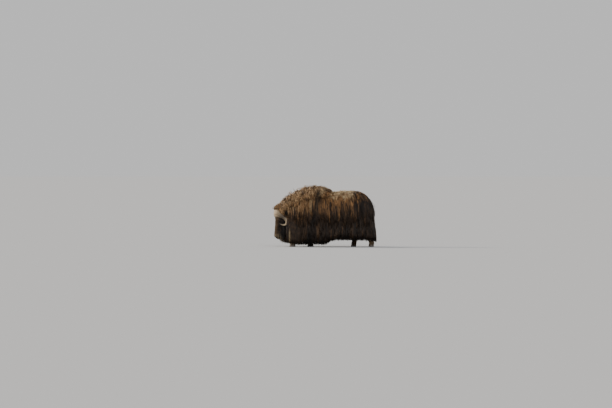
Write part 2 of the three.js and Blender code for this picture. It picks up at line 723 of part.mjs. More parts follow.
muskox.add(node("head", head, faceCoat));

// Neck and trunk
const bodyCore = trunkCore(TRUNK_SIDES);
const trunkTools = [...legNames.map((name) => leg(name, MOULD)), tail(MOULD)];
muskox.add(node("tail", tail().subtract(trunkTool), coat));
const coatOf = (side, from, to) => [...sideLocks(side, from, to), ...crestLocks(side, from, to)];
const ahead = box(v(-FAR, -FAR, -FAR), v(NECK_END - half, FAR, FAR));
const behind = box(v(NECK_END + half, -FAR, -FAR), v(FAR, FAR, FAR));
const hairTools = [...cheekLocks(-1, MOULD), ...cheekLocks(1, MOULD), ...forelock(MOULD)];
const headTools = [headTool, ...onFace, ...hairTools];
const neckHair = [...coatOf(-1, -FAR, NECK_END - 20), ...coatOf(1, -FAR, NECK_END - 20), ...throatLocks()];
const neck = woven([bodyCore, ...neckHair]).intersect(ahead);
muskox.add(node("neck", cut(neck, [...headTools, ...trunkTools]), coat));
for (const [sideName, side] of Object.entries(SIDES)) {
  const [low, high] = side > 0 ? [half, FAR] : [-FAR, -half];
  const halfSpace = box(v(-FAR, low, -FAR), v(FAR, high, FAR));
  const part = woven([bodyCore, ...coatOf(side, NECK_END - 20, FAR)]).intersect(behind).intersect(halfSpace);
  muskox.add(node(`torso_${sideName}`, cut(part, trunkTools), coat));
}

export default muskox;
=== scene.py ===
"""A bull muskox in its long coat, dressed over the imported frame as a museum-style model."""

import math
from collections import namedtuple

import bpy
import numpy as np
from bpy.props import FloatProperty, FloatVectorProperty, PointerProperty
from bpy.types import Operator, Panel, PropertyGroup
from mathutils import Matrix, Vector
from mathutils.bvhtree import BVHTree
from mathutils.kdtree import KDTree

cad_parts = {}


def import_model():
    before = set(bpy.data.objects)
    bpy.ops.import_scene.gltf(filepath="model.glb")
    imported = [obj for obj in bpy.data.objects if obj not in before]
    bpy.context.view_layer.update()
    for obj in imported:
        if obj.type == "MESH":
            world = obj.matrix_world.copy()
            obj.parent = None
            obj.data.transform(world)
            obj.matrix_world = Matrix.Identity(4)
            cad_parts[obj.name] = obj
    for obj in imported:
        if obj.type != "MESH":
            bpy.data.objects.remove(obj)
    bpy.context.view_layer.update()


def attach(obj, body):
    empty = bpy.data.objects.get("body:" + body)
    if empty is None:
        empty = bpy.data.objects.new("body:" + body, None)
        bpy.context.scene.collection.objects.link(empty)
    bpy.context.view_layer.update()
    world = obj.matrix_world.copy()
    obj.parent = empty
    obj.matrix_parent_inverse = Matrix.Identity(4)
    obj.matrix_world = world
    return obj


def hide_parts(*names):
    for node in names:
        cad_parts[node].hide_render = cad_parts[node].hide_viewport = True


bl_info = {
    "name": "Muskox",
    "version": (1, 0, 0),
    "blender": (4, 5, 0),
    "location": "View3D > Sidebar > Muskox",
    "description": "Builds the skin, coat, horns, eyes and hooves of a muskox over its frame",
    "category": "Object",
}

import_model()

# Shapes of the body in metres, with the same sizes as the solids
TRUNK = np.array([
    # x, top, bottom, half width, pinch towards the top
    (-0.920, 1.030, 0.700, 0.125, 0.10),
    (-0.800, 1.115, 0.620, 0.160, 0.15),
    (-0.670, 1.180, 0.560, 0.200, 0.22),
    (-0.550, 1.240, 0.520, 0.240, 0.28),
    (-0.410, 1.300, 0.490, 0.282, 0.34),
    (-0.235, 1.330, 0.470, 0.308, 0.38),
    (-0.080, 1.322, 0.465, 0.322, 0.34),
    (0.030, 1.280, 0.462, 0.330, 0.24),
    (0.160, 1.215, 0.465, 0.336, 0.16),
    (0.300, 1.226, 0.470, 0.338, 0.14),
    (0.470, 1.242, 0.480, 0.336, 0.15),
    (0.640, 1.240, 0.500, 0.326, 0.18),
    (0.780, 1.215, 0.530, 0.310, 0.20),
])
TRUNK_POWER = 2.25  # 2 is round, and more is squarer
WAIST = 0.46  # where the trunk is widest, as a share of its height
REAR = (0.780, 1.062)  # where the rounded rear begins and ends
FRONT = (-0.850, -0.965)
HEAD = np.array([
    # along the axis, up to the face, down to the throat, half width
    (0.000, 0.075, 0.095, 0.100),
    (0.080, 0.125, 0.135, 0.134),
    (0.180, 0.140, 0.152, 0.138),
    (0.280, 0.136, 0.148, 0.130),
    (0.380, 0.128, 0.122, 0.108),
    (0.480, 0.126, 0.084, 0.090),
    (0.570, 0.130, 0.052, 0.086),
    (0.640, 0.128, 0.042, 0.088),
    (0.690, 0.105, 0.034, 0.072),
])
HEAD_POWER = 2.5
HEAD_PINCH = 0.12
BLUNT_FROM = 0.640  # the muzzle is rounded off from here
LIPS_AT = 0.712
POLL = np.array([-0.955, 0.0, 0.875])  # where the head's axis starts
FACE_TILT = math.radians(5)
HEAD_TURN = math.radians(8)
HORN = np.array([
    # along the head's axis, to the side, to the face, half width, half thickness
    (0.118, 0.014, 0.128, 0.096, 0.034),
    (0.122, 0.072, 0.140, 0.098, 0.040),
    (0.136, 0.130, 0.108, 0.084, 0.038),
    (0.166, 0.164, 0.036, 0.062, 0.034),
    (0.216, 0.182, -0.046, 0.045, 0.031),
    (0.284, 0.202, -0.100, 0.033, 0.027),
    (0.348, 0.230, -0.086, 0.025, 0.023),
    (0.378, 0.258, -0.022, 0.018, 0.017),
    (0.364, 0.276, 0.046, 0.010, 0.010),
    (0.346, 0.282, 0.084, 0.003, 0.003),
])
HORN_GROOVE = 0.009  # half the gap between the bosses
BOSS_GROOVES = 0.022  # depths, as shares of the horn's section
BOSS_FURROWS = 0.022
GROWTH_RINGS = 0.012
EYE = (0.268, 0.124, 0.062)  # along the axis, to the side, to the face
EYE_RADIUS = 0.024
LID_OPENING = (0.0245, 0.0180)  # half its width and half its height
LID_THICK = (0.0078, 0.0062)  # above and below
EAR = (0.128, 0.128, -0.084)
EAR_LENGTH = 0.132
EAR_WAY = np.array([0.024, EAR_LENGTH, -0.046])
EAR_SECTION = (
    # share of its length, half width, half thickness
    (0.00, 0.022, 0.013),
    (0.35, 0.036, 0.012),
    (0.66, 0.034, 0.010),
    (0.88, 0.020, 0.007),
    (1.00, 0.004, 0.002),
)
EAR_CUP = ((0.00, 0.0), (0.18, 0.0), (0.35, 1.0), (0.85, 0.8), (1.00, 0.0))  # how hollow it is
EAR_CUP_DEPTH = 0.019
EAR_RIM = 0.012
FACE_FORMS = (
    # raised by, then centre and radius: along the axis, to the side, to the face
    (0.022, (0.262, 0.112, 0.062), (0.050, 0.060, 0.046)),  # rim of the eye socket
    (0.007, (0.215, 0.100, 0.105), (0.030, 0.060, 0.035)),  # brow
    (-0.012, (0.335, 0.100, 0.078), (0.040, 0.050, 0.036)),  # hollow below the eye
    (0.010, (0.330, 0.110, -0.050), (0.085, 0.060, 0.060)),  # cheek
    (-0.008, (0.480, 0.085, 0.030), (0.080, 0.050, 0.050)),  # hollow before the cheek
    (0.007, (0.470, 0.030, 0.125), (0.110, 0.045, 0.040)),  # bridge of the nose
    (0.014, (0.652, 0.066, 0.098), (0.034, 0.032, 0.036)),  # wing of the nostril
    (0.009, (0.662, 0.070, 0.042), (0.055, 0.050, 0.018)),  # upper lip
    (0.008, (0.672, 0.050, -0.010), (0.050, 0.060, 0.020)),  # lower lip
)
BELLY = 0.520
FETLOCK = 0.118
HOOF_HEIGHT = 0.062
LEGS = {
    # hip, foot, fore
    "fore_left": ((-0.470, -0.178, BELLY), (-0.728, -0.172, 0.0), True),
    "fore_right": ((-0.400, 0.178, BELLY), (-0.318, 0.168, 0.0), True),
    "hind_left": ((0.800, -0.180, BELLY + 0.060), (1.062, -0.176, 0.0), False),
    "hind_right": ((0.700, 0.180, BELLY + 0.040), (0.668, 0.172, 0.0), False),
}
# Of fore and hind legs
HOOF = {True: (0.142, 0.136), False: (0.124, 0.116)}
GIRTH = {True: 1.0, False: 0.94}
HOOF_LEVELS = np.array([
    # height, share of the length, share of the width
    (0.0, 0.955, 0.945),
    (0.006, 1, 1),
    (0.032, 0.94, 0.95),
    (0.0621, 0.78, 0.8),
])
HOOF_CLEFT = 0.005
TAIL = np.array([
    # x, y, z, half width, half thickness
    (1.010, 0.0, 0.985, 0.030, 0.024),
    (1.062, 0.0, 0.950, 0.034, 0.027),
    (1.092, 0.0, 0.890, 0.033, 0.026),
    (1.102, 0.0, 0.830, 0.024, 0.018),
    (1.104, 0.0, 0.790, 0.009, 0.008),
])
STALL = 0.262  # long hair hangs at least this far to the side of the legs
HORN_BACK = -0.862  # hair beside the head stays behind the horns
HORN_SIDE = 0.232  # and outside the base of the horns
REAR_FLARE = 0.085  # the skirt of hair spreads backwards towards the ankles
HAIR_WEIGHT = 11.0  # how fast long hair turns down, for each metre
LOWEST_TIP = 0.022
LOWEST_LEG_TIP = 0.012
HUMP_TOP = 1.400  # stray curls above this are laid down
HEM = np.array([
    # x, height of the coat's lower edge
    (-0.900, 0.040), (-0.560, -0.004), (-0.150, -0.008), (0.020, 0.008),
    (0.150, 0.095), (0.850, 0.110), (1.080, 0.060),
])
DOWN = np.array([0.0, 0.0, -1.0])
SIDES = (("left", -1), ("right", 1))

# One tuft: its widths from root to tip, its ridge, how deep it is set and its patch of the unwrap
TUFT_PROFILE = (0.8, 1.0, 0.98, 0.86, 0.1)
TUFT_RIDGE = 0.24
LONG_SUNK = 0.012
SHORT_SUNK = 0.004
PATCH = 0.003
TRIES = 14  # places tried for each tuft of the long coat

# Plain colours of the materials
BLACK = (0.0, 0.0, 0.0, 1.0)
PUPIL = (0.002, 0.002, 0.002, 1.0)
IRIS_SPECKS = (0.02, 0.009, 0.004, 1.0)
EYE_RIM = (0.02, 0.012, 0.008, 1.0)
HOOF_BANDS = (0.11, 0.085, 0.062, 1.0)
PAINTED_HIGHLIGHT = (2.6, 2.3, 2.0, 1.0)  # painted highlight: how much lighter the glossy fibres are painted
FIBRES = (900.0, 9.0, 60.0)  # to a metre across and along a tuft, and from tuft to tuft

# The studio
FLOOR_HALF = 4000.0  # so far that its edge lies on the horizon
WORLD_COLOUR = (0.88, 0.88, 0.88, 1.0)
WORLD_STRENGTH = 0.75
SUNS = (
    # name, way it shines, strength, angle across in degrees, colour
    ("key", (0.55, -0.62, -0.56), 2.5, 14.0, (1.0, 0.93, 0.84)),
    ("rim", (0.72, -0.25, -0.28), 3.2, 8.0, (1.0, 0.87, 0.72)),
    ("fill", (-0.1, 0.9, -0.42), 1.2, 30.0, (0.94, 0.96, 1.0)),
)
SENSOR = 36.0
NEAREST, FARTHEST = 0.5, 20000.0


# Numbers and curves
def smooth(t):
    t = np.clip(t, 0.0, 1.0)
    return t * t * (3.0 - 2.0 * t)


def past(value, start, span):
    """0 up to the start, rising to 1 over the span."""
    return smooth((value - start) / span)


def before(value, end, span):
    """0 from the end on, and 1 from a span before it."""
    return smooth((end - value) / span)


def bump(distance, radius):
    return np.exp(-((distance / radius) ** 2))


def unit(v):
    return v / np.maximum(np.linalg.norm(v, axis=-1, keepdims=True), 1e-9)


def catmull(table, column, x):
    """The value at x of a smooth line through the rows of a table, sorted by the first column."""
    keys = table[:, 0]
    values = table[:, column]
    x = np.clip(x, keys[0], keys[-1])
    i = np.clip(np.searchsorted(keys, x, side="right") - 1, 0, len(keys) - 2)
    a, d = np.maximum(i - 1, 0), np.minimum(i + 2, len(keys) - 1)
    span = keys[i + 1] - keys[i]
    slope_b = (values[i + 1] - values[a]) / np.maximum(keys[i + 1] - keys[a], 1e-6) * span
    slope_c = (values[d] - values[i]) / np.maximum(keys[d] - keys[i], 1e-6) * span
    t = (x - keys[i]) / span
    t2, t3 = t * t, t * t * t
    return (
        (2 * t3 - 3 * t2 + 1) * values[i]
        + (t3 - 2 * t2 + t) * slope_b
        + (3 * t2 - 2 * t3) * values[i + 1]
        + (t3 - t2) * slope_c
    )


FINE_X = np.linspace(FRONT[1], REAR[1], 900)
FINE_TRUNK = [catmull(TRUNK, column, FINE_X) for column in range(1, 5)]


def trunk_slice(x):
    """Top, bottom, half width and pinch of the trunk at x."""
    return [np.interp(x, FINE_X, values) for values in FINE_TRUNK]


def end_share(x):
    """How far x is into the rounded front or rear, from 0 to 1 at the end."""
    rear = (x - REAR[0]) / (REAR[1] - REAR[0])
    front = (x - FRONT[0]) / (FRONT[1] - FRONT[0])
    return np.maximum(0.0, np.maximum(rear, front))


def trunk_point(x, angle):
    """A point of the trunk at x, at an angle from level on the right side to the ridge."""
    top, bottom, half, pinch = trunk_slice(x)
    middle = bottom + WAIST * (top - bottom)
    power = 2.0 / TRUNK_POWER
    side = np.sign(np.cos(angle)) * np.abs(np.cos(angle)) ** power
    rise = np.sign(np.sin(angle)) * np.abs(np.sin(angle)) ** power
    scale = np.sqrt(np.maximum(0.0, 1.0 - np.minimum(1.0, end_share(x)) ** 2))
    wide = half * (1.0 - pinch * np.maximum(0.0, rise))
    span = np.where(rise > 0, top - middle, middle - bottom)
    return np.stack([x, side * wide * scale, middle + rise * span * scale], axis=-1)


def trunk_level(p):
    """Below 0 inside the trunk, 0 on it and above 0 outside."""
    top, bottom, half, pinch = trunk_slice(p[..., 0])
    middle = bottom + WAIST * (top - bottom)
    height = p[..., 2] - middle
    rise = height / np.where(height > 0, top - middle, middle - bottom)
    wide = half * (1.0 - pinch * np.clip(rise, 0.0, 1.0))
    flat = np.abs(p[..., 1] / wide) ** TRUNK_POWER + np.abs(rise) ** TRUNK_POWER
    return np.hypot(flat ** (1.0 / TRUNK_POWER), end_share(p[..., 0])) - 1.0


def trunk_out(p):
    """How far points are outside the trunk, and which way is out."""
    step = 0.002
    slopes = [
        (trunk_level(p + step * axis) - trunk_level(p - step * axis)) / (2 * step)
        for axis in np.eye(3)
    ]
    slope = np.stack(slopes, axis=-1)
    steep = np.maximum(np.linalg.norm(slope, axis=-1), 1e-6)
    return trunk_level(p) / steep, slope / steep[..., None]


def turned(v):
    """A direction turned with the head."""
    cosine, sine = math.cos(HEAD_TURN), math.sin(HEAD_TURN)
    return np.array([cosine * v[0] - sine * v[1], sine * v[0] + cosine * v[1], v[2]])


NOSEWARDS = turned(np.array([-math.sin(FACE_TILT), 0.0, -math.cos(FACE_TILT)]))
FACEWARDS = turned(np.array([-math.cos(FACE_TILT), 0.0, math.sin(FACE_TILT)]))
SIDEWARDS = turned(np.array([0.0, 1.0, 0.0]))


def on_head(local):
    """Points of the head's own measures, (along, side, face), in the scene's measures."""
    local = np.asarray(local, dtype=float)
    along, side, face = local[..., 0:1], local[..., 1:2], local[..., 2:3]
    return POLL + along * NOSEWARDS + side * SIDEWARDS + face * FACEWARDS


def mirrored(local, side):
    """The head's own measures on the left (-1) or right (1) side."""
    return local * np.array([1.0, side, 1.0])


def head_way(local):
    """A direction of the head's own measures, in the scene's."""
    return on_head(local) - POLL


def head_local(p):
    q = p - POLL
    return np.stack([q @ NOSEWARDS, q @ SIDEWARDS, q @ FACEWARDS], axis=-1)


# Meshes
def make_object(name, verts, faces, material=None):
    mesh = bpy.data.meshes.new(name)
    mesh.from_pydata([tuple(v) for v in verts], [], faces)
    mesh.validate()
    mesh.polygons.foreach_set("use_smooth", np.ones(len(mesh.polygons), dtype=bool))
    piece = bpy.data.objects.new(name, mesh)
    bpy.context.scene.collection.objects.link(piece)
    if material:
        mesh.materials.append(material)
    return piece


def loft(name, rings, first, last, material=None):
    """A closed skin over rings of points, with a pole closing each end."""
    rings = np.asarray(rings)
    count, sides = rings.shape[0], rings.shape[1]
    verts = np.vstack([np.asarray(first)[None], rings.reshape(-1, 3), np.asarray(last)[None]])
    faces = []
    for j in range(sides):
        k = (j + 1) % sides
        faces.append((0, 1 + k, 1 + j))
        for i in range(count - 1):
            a, b = 1 + i * sides, 1 + (i + 1) * sides
            faces.append((a + j, a + k, b + k, b + j))
        end = 1 + (count - 1) * sides
        faces.append((len(verts) - 1, end + j, end + k))
    piece = make_object(name, verts, faces, material)
    outward(piece)
    return piece


def vertices_of(mesh):
    points = np.empty(len(mesh.vertices) * 3, dtype=np.float32)
    mesh.vertices.foreach_get("co", points)
    return points.reshape(-1, 3).astype(float)


def outward(piece):
    """Turns a closed mesh right side out."""
    mesh = piece.data
    mesh.calc_loop_triangles()
    corners = np.empty(len(mesh.loop_triangles) * 3, dtype=np.int32)
    mesh.loop_triangles.foreach_get("vertices", corners)
    points = vertices_of(mesh)[corners.reshape(-1, 3)]
    volume = np.einsum("ij,ij->i", points[:, 0], np.cross(points[:, 1], points[:, 2])).sum()
    if volume < 0:
        mesh.flip_normals()


def ring_turns(count):
    """Angles spaced evenly round a ring."""
    return np.linspace(0.0, 2 * math.pi, count, endpoint=False)


def spline(points, t):
    """Points of a smooth path through the given ones, at shares t of its length in stations."""
    points = np.asarray(points, dtype=float)
    table = np.column_stack([np.arange(len(points)), points])
    x = np.asarray(t) * (len(points) - 1)
    return np.stack([catmull(table, column, x) for column in range(1, table.shape[1])], axis=-1)


def sweep(path, across):
    """Frames along a path that carry `across` with them without twisting."""
    tangent = unit(np.gradient(path, axis=0))
    sides, overs = [], []
    across = np.asarray(across, dtype=float)
    for way in tangent:
        across = unit(across - way * (across @ way))
        sides.append(across)
        overs.append(np.cross(way, across))
    return tangent, np.array(sides), np.array(overs)


def tube(name, stations, sides, steps, across, material=None, shape=None):
    """A loft along stations of (x, y, z, half width, half thickness). shape(t, angle) scales
    its section."""
    t = np.linspace(0.0, 1.0, steps + 1)
    line = spline(stations, t)
    path = line[:, :3]
    tangent, ways, overs = sweep(path, across)
    angle = ring_turns(sides)
    grow = shape(t[:, None], angle[None, :]) if shape else np.ones((steps + 1, sides))
    rings = (
        path[:, None]
        + (line[:, 3:4] * np.cos(angle) * grow)[..., None] * ways[:, None]
        + (line[:, 4:5] * np.sin(angle) * grow)[..., None] * overs[:, None]
    )
    first = path[0] - tangent[0] * line[0, 4] * 0.25
    last = path[-1] + tangent[-1] * line[-1, 4] * 0.6
    return loft(name, rings, first, last, material)


def fuse(name, parts, material):
    """One closed skin made from overlapping closed pieces."""
    main, others = parts[0], parts[1:]
    group = bpy.data.collections.new(name + "_parts")
    for other in others:
        group.objects.link(other)
    join = main.modifiers.new("join", "BOOLEAN")
    join.operation = "UNION"
    join.operand_type = "COLLECTION"
    join.collection = group
    join.solver = "MANIFOLD"
    joined_main = main.evaluated_get(bpy.context.evaluated_depsgraph_get())
    joined = bpy.data.meshes.new_from_object(joined_main)
    for part in parts:
        bpy.data.objects.remove(part)
    bpy.data.collections.remove(group)
    joined.name = name
    joined.materials.clear()
    joined.materials.append(material)
    joined.polygons.foreach_set("use_smooth", np.ones(len(joined.polygons), dtype=bool))
    piece = bpy.data.objects.new(name, joined)
    bpy.context.scene.collection.objects.link(piece)
    return piece


def finish_piece(piece, slot, *nodes):
    """Puts a piece on the one body and hides the solids that it replaces; its slot is not used."""
    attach(piece, "root")
    if nodes:
        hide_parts(*nodes)
    return piece


# Materials
class Nodes:
    """A node tree under construction: each call adds a node and returns its output."""

    def __init__(self, name):
        self.material = bpy.data.materials.new(name)
        self.material.use_nodes = True
        self.tree = self.material.node_tree
        self.shader = self.tree.nodes["Principled BSDF"]

    def add(self, kind, **settings):
        node = self.tree.nodes.new(kind)
        for key, value in settings.items():
            setattr(node, key, value)
        return node

    def put(self, socket, value):
        """Links an output to a socket, or sets the socket to a plain value."""
        if hasattr(value, "links"):
            self.tree.links.new(value, socket)
        else:
            socket.default_value = value

    def position(self):
        """The place on the piece, in metres."""
        return self.add("ShaderNodeTexCoord").outputs["Object"]

    def stretched(self, scale):
        node = self.add("ShaderNodeMapping")
        self.put(node.inputs["Vector"], self.position())
        node.inputs["Scale"].default_value = scale
        return node.outputs["Vector"]

    def noise(self, vector, scale, detail=4.0, rough=0.6):
        node = self.add("ShaderNodeTexNoise")
        self.put(node.inputs["Vector"], vector)
        node.inputs["Scale"].default_value = scale
        node.inputs["Detail"].default_value = detail
        node.inputs["Roughness"].default_value = rough
        return node.outputs["Fac"]

    def mix(self, factor, low, high, blend="MIX"):
        """Mixes two colours. The mix node's colours are its sockets 6, 7 and 2."""
        node = self.add("ShaderNodeMix", data_type="RGBA", blend_type=blend)
        self.put(node.inputs[0], factor)
        self.put(node.inputs[6], low)
        self.put(node.inputs[7], high)
        return node.outputs[2]

    def math(self, operation, first, second=0.0, third=0.0):
        node = self.add("ShaderNodeMath", operation=operation)
        for socket, value in zip(node.inputs, (first, second, third)):
            self.put(socket, value)
        return node.outputs[0]

    def ramp(self, value, low, high, to_low=0.0, to_high=1.0):
        """Carries a value from one range to another, and holds it at the ends."""
        node = self.add("ShaderNodeMapRange")
        self.put(node.inputs["Value"], value)
        ends = {"From Min": low, "From Max": high, "To Min": to_low, "To Max": to_high}
        for key, number in ends.items():
            self.put(node.inputs[key], number)
        return node.outputs[0]

    def marks(self):
        """The markings of the skin and coat: pale, brown, tone and share of the hair."""
        node = self.add("ShaderNodeAttribute", attribute_name="marks")
        apart = self.add("ShaderNodeSeparateColor")
        self.put(apart.inputs[0], node.outputs["Color"])
        return (*apart.outputs, node.outputs["Alpha"])

    def finish(self, colour, roughness, height, distance, specular):
        """Fills the shader. A height raises the surface by up to a distance in metres."""
        self.put(self.shader.inputs["Base Color"], colour)
        self.put(self.shader.inputs["Roughness"], roughness)
        self.put(self.shader.inputs["Specular IOR Level"], specular)
        if height is not None:
            node = self.add("ShaderNodeBump")
            self.put(node.inputs["Height"], height)
            node.inputs["Distance"].default_value = distance
            node.inputs["Strength"].default_value = 1.0
            self.put(self.shader.inputs["Normal"], node.outputs["Normal"])
        return self.material


def rgba(colour):
    return (*colour, 1.0)


def coat_colour(nodes, colours):
    """The coat's colour from its markings: dark, brown and pale hair, lighter towards the tips."""
    pale, brown, tone, share = nodes.marks()
    colour = nodes.mix(brown, rgba(colours.dark), rgba(colours.brown))
    colour = nodes.mix(pale, colour, rgba(colours.pale))
    bright = nodes.math("MULTIPLY_ADD", tone, 0.95, 0.5)
    worn = nodes.math("MULTIPLY_ADD", share, 0.5, 0.72)
    return nodes.mix(1.0, colour, nodes.math("MULTIPLY", bright, worn), "MULTIPLY")


def hair_material(colours):
    """Each tuft is drawn as a bundle of fibres that run along it, with painted shade in the gaps
    between the fibres and a painted highlight on the glossy ones.
    """
    nodes = Nodes("coat_hair")
    colour = coat_colour(nodes, colours)
    place = nodes.add("ShaderNodeAttribute", attribute_name="fibre")
    bundle = nodes.add("ShaderNodeMapping")
    nodes.put(bundle.inputs["Vector"], place.outputs["Vector"])
    bundle.inputs["Scale"].default_value = FIBRES
    fibre = nodes.noise(bundle.outputs["Vector"], 1.0, 3.0, 0.7)
    # painted shade: the gaps between the fibres are darkened towards black
    fibre_gap_shade = nodes.ramp(fibre, 0.36, 0.60, 0.62, 0.0)
    colour = nodes.mix(fibre_gap_shade, colour, BLACK)
    # painted highlight: the glossy fibres are painted lighter
    highlight_share = nodes.ramp(fibre, 0.56, 0.78, 0.0, 0.30)
    lighter = nodes.mix(1.0, colour, PAINTED_HIGHLIGHT, "MULTIPLY")
    colour = nodes.mix(highlight_share, colour, lighter)
    roughness = nodes.ramp(fibre, 0.3, 0.7, 0.66, 0.48)
    return nodes.finish(colour, roughness, fibre, 0.0022, 0.28)


def skin_material(colours):
    """Short close fur, darkened between the hairs with painted shade."""
    nodes = Nodes("skin_fur")
    colour = coat_colour(nodes, colours)
    fur = nodes.noise(nodes.stretched((1.0, 1.0, 0.28)), 210.0, 5.0)
    broad = nodes.noise(nodes.position(), 18.0, 4.0)
    # painted shade: darker towards black between the hairs
    colour = nodes.mix(nodes.ramp(fur, 0.3, 0.72, 0.0, 0.6), colour, BLACK)
    colour = nodes.mix(nodes.ramp(broad, 0.42, 0.7, 0.0, 0.10), colour, rgba(colours.brown))
    return nodes.finish(colour, 0.75, fur, 0.0025, 0.25)


def horn_material(colours):
    """Worn, streaked horn, rough on the boss and smooth towards the dark tip, with painted shade on
    the middle of the curl and on the boss by the crown.
    """
    nodes = Nodes("horn_plate")
    brown, tone, share = nodes.marks()[1:]
    grain = nodes.noise(nodes.stretched((1.0, 1.0, 1.0)), 60.0, 6.0, 0.65)
    worn = nodes.math("MULTIPLY_ADD", tone, 0.30, grain)
    strong = nodes.ramp(share, 0.3, 0.7, 0.95, 0.5)
    streak = nodes.math("MULTIPLY", nodes.ramp(worn, 0.50, 0.88), strong)
    colour = nodes.mix(streak, rgba(colours.horn), rgba(colours.horn_streak))
    # painted shade: the brown mark darkens the middle of the curl and the boss by the crown
    colour = nodes.mix(nodes.math("MULTIPLY", brown, 0.85), colour, rgba(colours.horn_tip_and_shade))
    colour = nodes.mix(nodes.ramp(share, 0.76, 0.95), colour, rgba(colours.horn_tip_and_shade))
    height = nodes.math("MULTIPLY", worn, nodes.ramp(share, 0.2, 0.8, 1.0, 0.3))
    return nodes.finish(colour, nodes.ramp(share, 0.1, 0.8, 0.62, 0.34), height, 0.0028, 0.35)


def eye_material(colours):
    """A dark pupil, a speckled iris and a dark rim, all glossy."""
    nodes = Nodes("eye_gloss")
    share = nodes.marks()[3]
    mottled = nodes.noise(nodes.position(), 420.0, 3.0)
    iris = nodes.mix(nodes.ramp(mottled, 0.35, 0.7), rgba(colours.iris), IRIS_SPECKS)
    colour = nodes.mix(nodes.ramp(share, 0.40, 0.46), PUPIL, iris)
    colour = nodes.mix(nodes.ramp(share, 0.92, 1.0), colour, EYE_RIM)
    return nodes.finish(colour, 0.08, None, 0.0, 0.22)


def hoof_material(colours):
    """Dark horn with level growth bands and fine grit."""
    nodes = Nodes("hoof_horn")
    band = nodes.noise(nodes.stretched((1.0, 1.0, 9.0)), 22.0, 4.0)
    grit = nodes.noise(nodes.position(), 130.0, 4.0)
    colour = nodes.mix(nodes.ramp(band, 0.35, 0.68), rgba(colours.hoof), HOOF_BANDS)
    height = nodes.math("MULTIPLY_ADD", grit, 0.35, band)
    return nodes.finish(colour, nodes.ramp(grit, 0.3, 0.7, 0.42, 0.66), height, 0.0016, 0.4)


def floor_material(colours):
    return Nodes("studio_floor").finish(rgba(colours.floor), 1.0, None, 0.0, 0.0)


# Markings, as shares of pale and brown hair at places of the body
SADDLE = (0.03, 0.66)  # from where to where along the body the back is pale
CLEFT = (-0.140, 0.20, 0.050)  # the crease behind the mane, darkened with painted shade: place, slant and width
BROWN_DOWN_TO = 0.66  # the golden brown fades into the dark at about this height
SADDLE_DOWN_TO = 0.72  # and here behind the mane
PALE_DOWN_TO = 1.09  # the pale hair of the saddle becomes brown at about this height
PALEST_MANE = 0.42
PALE_CROWN = 0.34
PALE_BRIDGE = 0.06
PALE_MUZZLE = 0.30
BROWN_FLANK = 0.85
BROWN_CROUP = 0.35
BROWN_BRIDGE = 0.24
BROWN_UNDERSIDE = 0.26
PALE_STRAND = (-0.785, 0.022, 0.40)  # a few pale locks low behind the jaw: place, width and top


def crease_shade(x, z):
    """1 away from the crease behind the mane, and less in it, where its shade is painted."""
    middle = CLEFT[0] + CLEFT[1] * (z - 1.25)
    return 1.0 - 0.85 * bump(x - middle, CLEFT[2]) * before(z, 1.34, 0.08)


def markings(p):
    """Shares of pale and brown hair for roots or skin at p."""
    x, z = p[:, 0], p[:, 2]
    below = trunk_slice(x)[0] - z
    saddle = past(x, SADDLE[0], 0.10) * before(x, SADDLE[1], 0.18) * before(below, 0.18, 0.12)
    crown = before(x, 0.02, 0.1) * before(below, 0.15, 0.14)
    pale = np.maximum(saddle, PALE_CROWN * crown)
    mane = before(x, -0.05, 0.12) * before(below, 0.66, 0.42)
    flank = past(x, -0.16, 0.1) * before(x, 0.70, 0.16)
    croup = past(x, 0.5, 0.12) * before(below, 0.10, 0.1)
    brown = np.maximum(mane, BROWN_FLANK * flank * before(below, 0.50, 0.22))
    # less brown in the painted shade of the crease behind the mane
    brown = np.maximum(brown, BROWN_CROUP * croup) * crease_shade(x, z)
    local = head_local(p)
    along, face = local[:, 0], local[:, 2]
    on_face = before(x, -0.80, 0.05) * before(z, 0.9, 0.05)
    muzzle = on_face * past(along, 0.56, 0.09) * past(face, -0.06, 0.05)
    bridge = on_face * past(face, 0.05, 0.07) * (1.0 - muzzle)
    brown = np.maximum(brown * (1.0 - on_face), BROWN_BRIDGE * bridge)
    pale = np.maximum(np.maximum(pale, PALE_BRIDGE * bridge), PALE_MUZZLE * muzzle)
    underside = before(z, 0.42, 0.12) * (np.abs(p[:, 1]) < 0.27) * (x > -0.85)
    return pale, np.maximum(brown, BROWN_UNDERSIDE * underside)


def bare(p):
    """Where the skin is bare and black: nostrils, the pad between them, the lips' line and lids."""
    local = head_local(p)
    along, side, face = local[:, 0], np.abs(local[:, 1]), local[:, 2]
    near = (along > 0.5) & (p[:, 0] < -0.85)
    nostril = bump(np.hypot(along - 0.672, (face - 0.092) * 0.7), 0.030)
    pad = past(along, 0.662, 0.012) * before(side, 0.056, 0.014) * past(face, 0.02, 0.02)
    lips = past(along, 0.58, 0.03) * bump(face - 0.016, 0.012)
    muzzle = near * np.maximum(np.maximum(nostril, pad), lips)
    eye = np.hypot(along - EYE[0], face - EYE[2])
    lids = bump(eye, 0.031) * (side > 0.09) * (p[:, 0] < -0.85)
    return np.clip(np.maximum(muzzle, 1.2 * lids), 0.0, 1.0)


def set_marks(mesh, pale, brown, tone, share):
    """The markings that the materials read, at each vertex."""
    values = np.stack([pale, brown, tone, share], axis=-1).astype(np.float32)
    layer = mesh.attributes.new("marks", "FLOAT_COLOR", "POINT")
    layer.data.foreach_set("color", values.ravel())


def set_fibre(mesh, across, along, pick):
    """Where a vertex lies on its tuft, for the fine fibres of the material."""
    values = np.stack([across, along, pick], axis=-1).astype(np.float32)
    layer = mesh.attributes.new("fibre", "FLOAT_VECTOR", "POINT")
    layer.data.foreach_set("vector", values.ravel())


